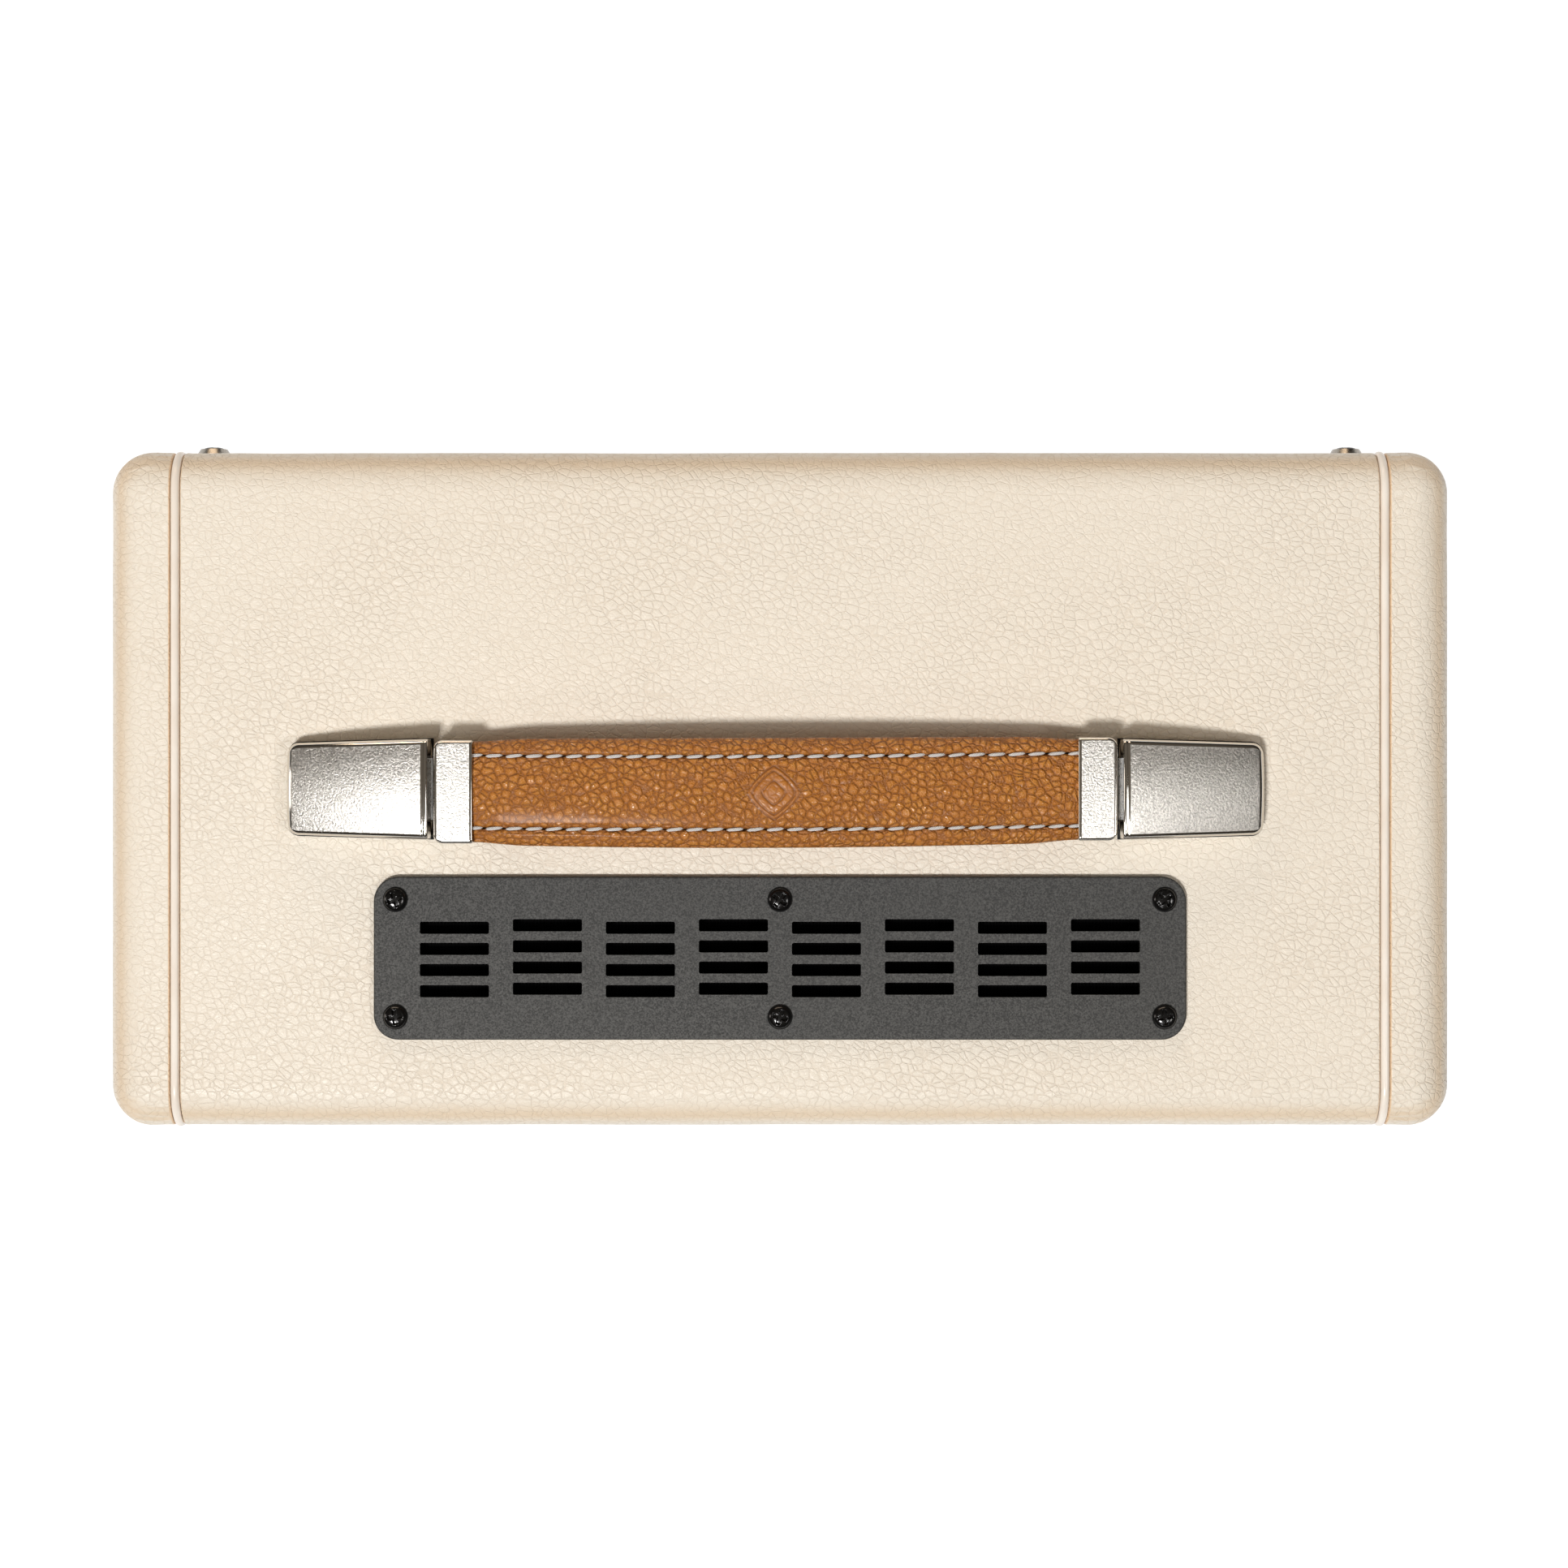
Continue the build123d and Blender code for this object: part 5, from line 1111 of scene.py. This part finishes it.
def screws(name, places, radius, height, node, seed):
    """Screw heads from (place, facing) pairs; facing turns one from pointing up."""
    rng = np.random.default_rng(seed)
    parts = []
    for place, facing in places:
        points, faces = screw_head(radius, height, rng.uniform(0, math.pi / 2))
        turn = np.array(Euler([math.radians(a) for a in facing]).to_matrix())
        parts.append((points @ turn.T + np.array(place), faces))
    finish_piece(merged(name, parts, [screw_black]), "root", "black_screw", node)


UP, FRONTWARD, REARWARD = (0, 0, 0), (90, 0, 0), (-90, 0, 0)
HEAD_R, HEAD_H = 3.3, 2.0
PANEL_SCREW_ZS = (173.6, 222.4)


def build_screws():
    low, high = box_mm("vent_screws")
    columns = (low[0] + HEAD_R, 0, high[0] - HEAD_R)
    rows = (low[1] + HEAD_R, high[1] - HEAD_R)
    places = [((x, y, plate_high[2]), UP) for x in columns for y in rows]
    screws("vent_screw_heads", places, HEAD_R, HEAD_H, "vent_screws", 3)
    _, high = box_mm("plate_screws")
    reach, face = high[0] - HEAD_R, panel_low[1]
    places = [((s * reach, face, z), FRONTWARD) for s in (-1, 1) for z in PANEL_SCREW_ZS]
    plate_lo, plate_hi = box_mm("connector_plate")
    inset = 4.0
    columns, rows = ((plate_lo[i] + inset, plate_hi[i] - inset) for i in (0, 2))
    places += [((x, plate_hi[1], z), REARWARD) for x in columns for z in rows]
    screws("plate_screw_heads", places, HEAD_R, HEAD_H, "plate_screws", 5)
    low, high = box_mm("rear_cup_washers")
    cup_r, seat = 4.7, 0.9
    rows = np.linspace(low[2] + cup_r, high[2] - cup_r, 4)
    places = [((s * (high[0] - cup_r), high[1] - seat, z), REARWARD) for s in (-1, 1) for z in rows]
    screws("rear_screw_heads", places, 3.35, 1.5, "rear_screws", 7)


# ---- Vent gauze of painted shade, grille cloth ----
def build_vent_shade():
    """A dark gauze under the plate: painted shade that closes the vent duct and keeps it dark."""
    x = spaced(-DUCT_HALF_X, DUCT_HALF_X, 6)
    y = spaced(VENT_Y - DUCT_HALF_Y, VENT_Y + DUCT_HALF_Y, 3)
    grid = np.stack(np.meshgrid(x, y, indexing="ij"), 2).reshape(-1, 2)
    share = (grid - [0, VENT_Y]) / [DUCT_HALF_X, DUCT_HALF_Y]
    sag = 1.2 * np.prod(1 - share**2, axis=1)
    points = np.column_stack([grid, TOP - 4.0 - sag])
    made = piece("vent_shade_gauze", points, grid_faces(len(x), len(y))[:, ::-1], [vent_shade_black])
    finish_piece(made, "root", "grille_fabric")


def build_grille():
    """Speaker cloth stretched over the grille frame and round its edges."""
    half_x = (cloth_high[0] - cloth_low[0]) / 2
    low, high, front = cloth_low[2], cloth_high[2], cloth_low[1]
    turn = 2.2
    depth = 4.6

    def fold(start, end, step):
        """Positions along a cut across the cloth, and how far each is folded back."""
        bend = np.radians(np.linspace(0, 90, 6))
        back = [depth, *(turn * (1 - np.sin(bend)))]
        inset = [0, *(turn * (1 - np.cos(bend)))]
        flat = spaced(start + turn, end - turn, step)[1:-1]
        place = np.concatenate([start + np.array(inset), flat, end - np.array(inset)[::-1]])
        return place, np.concatenate([back, np.zeros(len(flat)), back[::-1]])

    x, back_x = fold(-half_x, half_x, 3.0)
    z, back_z = fold(low, high, 3.0)
    gx, gz = (g.ravel() for g in np.meshgrid(x, z, indexing="ij"))
    bx, bz = (g.ravel() for g in np.meshgrid(back_x, back_z, indexing="ij"))
    window = smooth(np.abs(gx), 6.5, 20) * smooth(half_x - np.abs(gx), 13, 28)
    window = window * smooth(gz - low, 13, 28) * smooth(high - gz, 13, 28)
    y = front + np.maximum(bx, bz) + 0.35 * window
    made = piece("grille_weave", np.column_stack([gx, y, gz]), grid_faces(len(x), len(z)), [cloth])
    finish_piece(made, "root", "grille_fabric", "grille_cloth")


# ---- Controls ----
KNOBS = {
    "volume": ("volume_knob", 12.0),
    "tone": ("tone_knob", 12.0),
    "band": ("band_knob", 12.0),
    "tuner": ("tuning_knob", 19.0),
}


def knob_centre(node):
    low, high = box_mm(node)
    return (low[0] + high[0]) / 2, (low[2] + high[2]) / 2, low[1]


def build_knob_inserts():
    """A spun metal disc in each knob's dish, with turned rings and a pointer line."""
    for body, (node, radius) in KNOBS.items():
        x, z, front = knob_centre(node)
        disc = radius * 0.655
        angle = np.linspace(0, 2 * math.pi, 72, endpoint=False)
        loops = []
        for share in np.linspace(0.02, 1, 48):
            r = disc * share
            ripple = 0.09 * math.sin(share * 50) - 0.25 * share**8
            y = front + 0.55 - ripple
            around = x + r * np.cos(angle), np.full(len(angle), y), z + r * np.sin(angle)
            loops.append(np.column_stack(around))
        rim = loops[-1].copy()
        rim[:, 1] = front + 0.85
        loops.append(rim)
        made = loft(f"{body}_insert", [loop[::-1] for loop in loops], [spun], cap_start=True)
        finish_piece(made, body, "knob_plastic")
        line = bar(0.55, 0.25, radius * 0.34)
        line[0][:] += [x, front + 0.12, z + radius * 0.81]
        finish_piece(merged(f"{body}_pointer", [line], [ink]), body, "knob_plastic")


def bar(width, depth, height):
    """A small box about the origin with rounded-off upright edges, for printed marks."""
    w, d, h = width / 2, depth / 2, height / 2
    cut = min(w, h) * 0.3
    outline = [
        (-w, -h + cut), (-w + cut, -h), (w - cut, -h), (w, -h + cut),
        (w, h - cut), (w - cut, h), (-w + cut, h), (-w, h - cut),
    ]
    points = np.array([(x, y, z) for y in (-d, d) for x, z in outline])
    faces = [list(range(8)), list(range(15, 7, -1))]
    faces += [[i + 8, (i + 1) % 8 + 8, (i + 1) % 8, i] for i in range(8)]
    return points, faces


def turned(part, degrees, centre):
    """A part in the XZ plane turned clockwise about its origin and moved to centre."""
    points, faces = part
    a = math.radians(degrees)
    x = points[:, 0] * math.cos(a) + points[:, 2] * math.sin(a)
    z = -points[:, 0] * math.sin(a) + points[:, 2] * math.cos(a)
    return np.column_stack([x, points[:, 1], z]) + np.array(centre), faces


def numeral(text, size, centre):
    """Numbers as a thin flat mesh that faces the front, centred on a point."""
    curve = bpy.data.curves.new("numeral", "FONT")
    curve.body = text
    curve.size = size
    curve.extrude = 0.04
    curve.align_x = "CENTER"
    curve.align_y = "CENTER"
    curve.resolution_u = 3
    holder = bpy.data.objects.new("numeral", curve)
    mesh = bpy.data.meshes.new_from_object(holder)
    points = np.array([v.co for v in mesh.vertices])
    faces = [list(p.vertices) for p in mesh.polygons]
    bpy.data.objects.remove(holder)
    bpy.data.curves.remove(curve)
    bpy.data.meshes.remove(mesh)
    return np.column_stack([points[:, 0], -points[:, 2], points[:, 1]]) + np.array(centre), faces


TICK_R = 14.2  # from a knob's centre to the marks round it


def marked_round(part, centre, radius, degrees):
    """A mark at a clockwise angle round a knob's centre, turned to point at it."""
    a = math.radians(degrees)
    x, y, z = centre
    return turned(part, degrees, (x + radius * math.sin(a), y, z + radius * math.cos(a)))


def build_panel_marks():
    """Tick marks and numbers printed on the control panel."""
    face = panel_low[1] - 0.03
    parts = []
    for node in ("volume_knob", "tone_knob"):
        x, z, _ = knob_centre(node)
        for step in range(11):
            tick = bar(0.35, 0.04, 1.6) if step % 5 else bar(0.6, 0.04, 2.2)
            parts.append(marked_round(tick, (x, face, z), TICK_R, -150 + 30 * step))
        for text, angle in (("0", -150), ("5", 0), ("10", 150)):
            a = math.radians(angle)
            place = (x + 17.6 * math.sin(a), face, z + 17.4 * math.cos(a))
            parts.append(numeral(text, 3.2, place))
    x, z, _ = knob_centre("band_knob")
    for text, angle in (("1", -30), ("2", 0), ("3", 30)):
        a = math.radians(angle)
        place = (x + 17.2 * math.sin(a), face, z + 17.2 * math.cos(a))
        parts.append(numeral(text, 3.2, place))
        parts.append(marked_round(bar(0.5, 0.04, 1.8), (x, face, z), TICK_R, angle))
    toggle_low, toggle_high = box_mm("power_toggle")
    x = (toggle_low[0] + toggle_high[0]) / 2
    parts.append(numeral("0", 3.0, (x - 9.5, face, 183.0)))
    parts.append(numeral("1", 3.0, (x - 9.5, face, 191.0)))
    finish_piece(merged("panel_marks", parts, [ink]), "root", "scale_card")


def build_dial_marks():
    """Two tuning scales with ticks and numbers on the dial card, and the window's bezel."""
    low, _ = box_mm("dial_scale")
    window_low, window_high = box_mm("dial_window")
    face = low[1] - 0.03
    middle = (window_low[0] + window_high[0]) / 2
    centre_z = (window_low[2] + window_high[2]) / 2
    travel = 34.6
    parts = []
    for numbers, side in (
        (("88", "92", "96", "100", "104", "108"), 1),
        (("54", "65", "80", "100", "130", "160"), -1),
    ):
        z = centre_z + side * 4.6
        rule = bar(2 * travel + 6, 0.04, 0.35)
        parts.append(turned(rule, 0, (middle, face, z)))
        for step in range(26):
            x = middle - travel + 2 * travel * step / 25
            tall = 2.4 if step % 5 == 0 else 1.2
            parts.append(turned(bar(0.3, 0.04, tall), 0, (x, face, z + side * tall / 2)))
        for step, text in enumerate(numbers):
            x = middle - travel + 2 * travel * step / 5
            parts.append(numeral(text, 3.6, (x, face, z + side * 5.4)))
    finish_piece(merged("dial_marks", parts, [dial_ink]), "root", "scale_card")
    half_w, _, half_h = (window_high - window_low) / 2
    loops = []
    for wider, out in ((0, 0.02), (0, 0.9), (0.35, 1.2), (1.1, 1.2), (1.4, 0.9), (1.4, 0.02)):
        outline = rounded_rectangle(half_w + wider, half_h + wider, 3.0 + wider, 8)
        y = np.full(len(outline), panel_low[1] - out)
        loops.append(np.column_stack([outline[:, 0] + middle, y, outline[:, 1] + centre_z]))
    finish_piece(loft("dial_bezel", loops, [polished]), "root", "chrome_part")


def rounded_rectangle(half_w, half_h, radius, count):
    """Outline points of a rounded rectangle about the origin, anticlockwise."""
    corners = [(1, 1, 0), (-1, 1, 90), (-1, -1, 180), (1, -1, 270)]
    points = [
        arc((sx * (half_w - radius), sy * (half_h - radius)), radius, start, start + 90, count)
        for sx, sy, start in corners
    ]
    return np.concatenate(points)


# ---- Camera, light and floor ----
CAMERA_RISE = 924.0  # from the cabinet's top to the lens
FRAME_WIDTH = 411.0  # what the picture takes in at the height of the cabinet's top
SENSOR = 36.0


def add_camera():
    """Straight above the cabinet, a hair off its middle."""
    data = bpy.data.cameras.new("camera")
    data.sensor_width = SENSOR
    data.lens = SENSOR * CAMERA_RISE / FRAME_WIDTH
    data.clip_start, data.clip_end = 0.05, 20
    camera = bpy.data.objects.new("camera", data)
    camera.location = np.array([1.06, 1.28, TOP + CAMERA_RISE]) * MM
    bpy.context.scene.collection.objects.link(camera)
    bpy.context.scene.camera = camera


def add_light(name, place, size, power, colour=(1, 1, 1), aim_y=0.0):
    """A soft rectangular light that faces the cabinet's top, or a point behind it."""
    data = bpy.data.lights.new(name, "AREA")
    data.shape = "RECTANGLE"
    data.size, data.size_y = size
    data.energy = power
    data.color = colour
    light = bpy.data.objects.new(name, data)
    light.location = place
    aim = Vector((0, aim_y, TOP * MM)) - Vector(place)
    light.rotation_euler = aim.to_track_quat("-Z", "Y").to_euler()
    bpy.context.scene.collection.objects.link(light)


def add_studio():
    """Soft lights, a faint warm glow from above and a white backdrop."""
    add_light("key", (-0.78, -1.20, 3.40), (0.63, 0.48), 113, (1.0, 0.99, 0.98), aim_y=2.3)
    add_light("low_front", (-0.30, -1.50, 1.60), (0.30, 0.25), 1.5)
    add_light("rear_fill", (-0.20, 1.00, 0.60), (0.8, 0.3), 2.8, (1.0, 0.80, 0.60))
    add_light("left_fill", (-1.20, 0.00, 0.55), (0.3, 0.5), 1.5, (1.0, 0.93, 0.86))
    add_light("right_fill", (1.10, -0.42, 1.90), (0.5, 0.4), 6, (1.0, 0.97, 0.94))
    add_light("right_glint", (1.15, -0.14, 1.90), (0.3, 0.3), 1.3)
    world = bpy.data.worlds.new("studio")
    world.use_nodes = True
    tree = world.node_tree
    glow = tree.nodes["Background"]
    kinds = ("TexCoord", "SeparateXYZ", "MapRange", "Background", "LightPath", "MixShader")
    where, split, rise, white, seen, both = (tree.nodes.new("ShaderNode" + k) for k in kinds)
    for socket, value in zip(rise.inputs[1:5], (0.25, 0.95, 0.03, 0.135)):
        socket.default_value = value
    glow.inputs["Color"].default_value = (1.0, 0.86, 0.70, 1)
    white.inputs["Color"].default_value = (1.0, 1.0, 1.0, 1)
    for start, end in (
        (where.outputs["Generated"], split.inputs[0]),
        (split.outputs["Z"], rise.inputs[0]),
        (rise.outputs[0], glow.inputs["Strength"]),
        (seen.outputs["Is Camera Ray"], both.inputs[0]),
        (glow.outputs[0], both.inputs[1]),
        (white.outputs[0], both.inputs[2]),
        (both.outputs[0], tree.nodes["World Output"].inputs[0]),
    ):
        tree.links.new(start, end)
    bpy.context.scene.world = world
    bpy.context.scene.view_settings.view_transform = "Standard"


def add_floor():
    paint = Paint("floor", roughness=0.9, base_color=(0.12, 0.12, 0.12), specular=0.05)
    paint.set(emission_color=(1, 1, 1), emission_strength=1.0)
    reach = 6000
    corners = [(-reach, -reach, 0), (reach, -reach, 0), (reach, reach, 0), (-reach, reach, 0)]
    piece("floor", corners, [(0, 1, 2, 3)], [paint.material], flat=True)


# ---- Build ----
add_camera()
add_studio()
add_floor()
dress_cad_nodes()
build_covers()
build_strap()
build_handle_metal()
build_screws()
build_vent_shade()
build_grille()
build_knob_inserts()
build_panel_marks()
build_dial_marks()
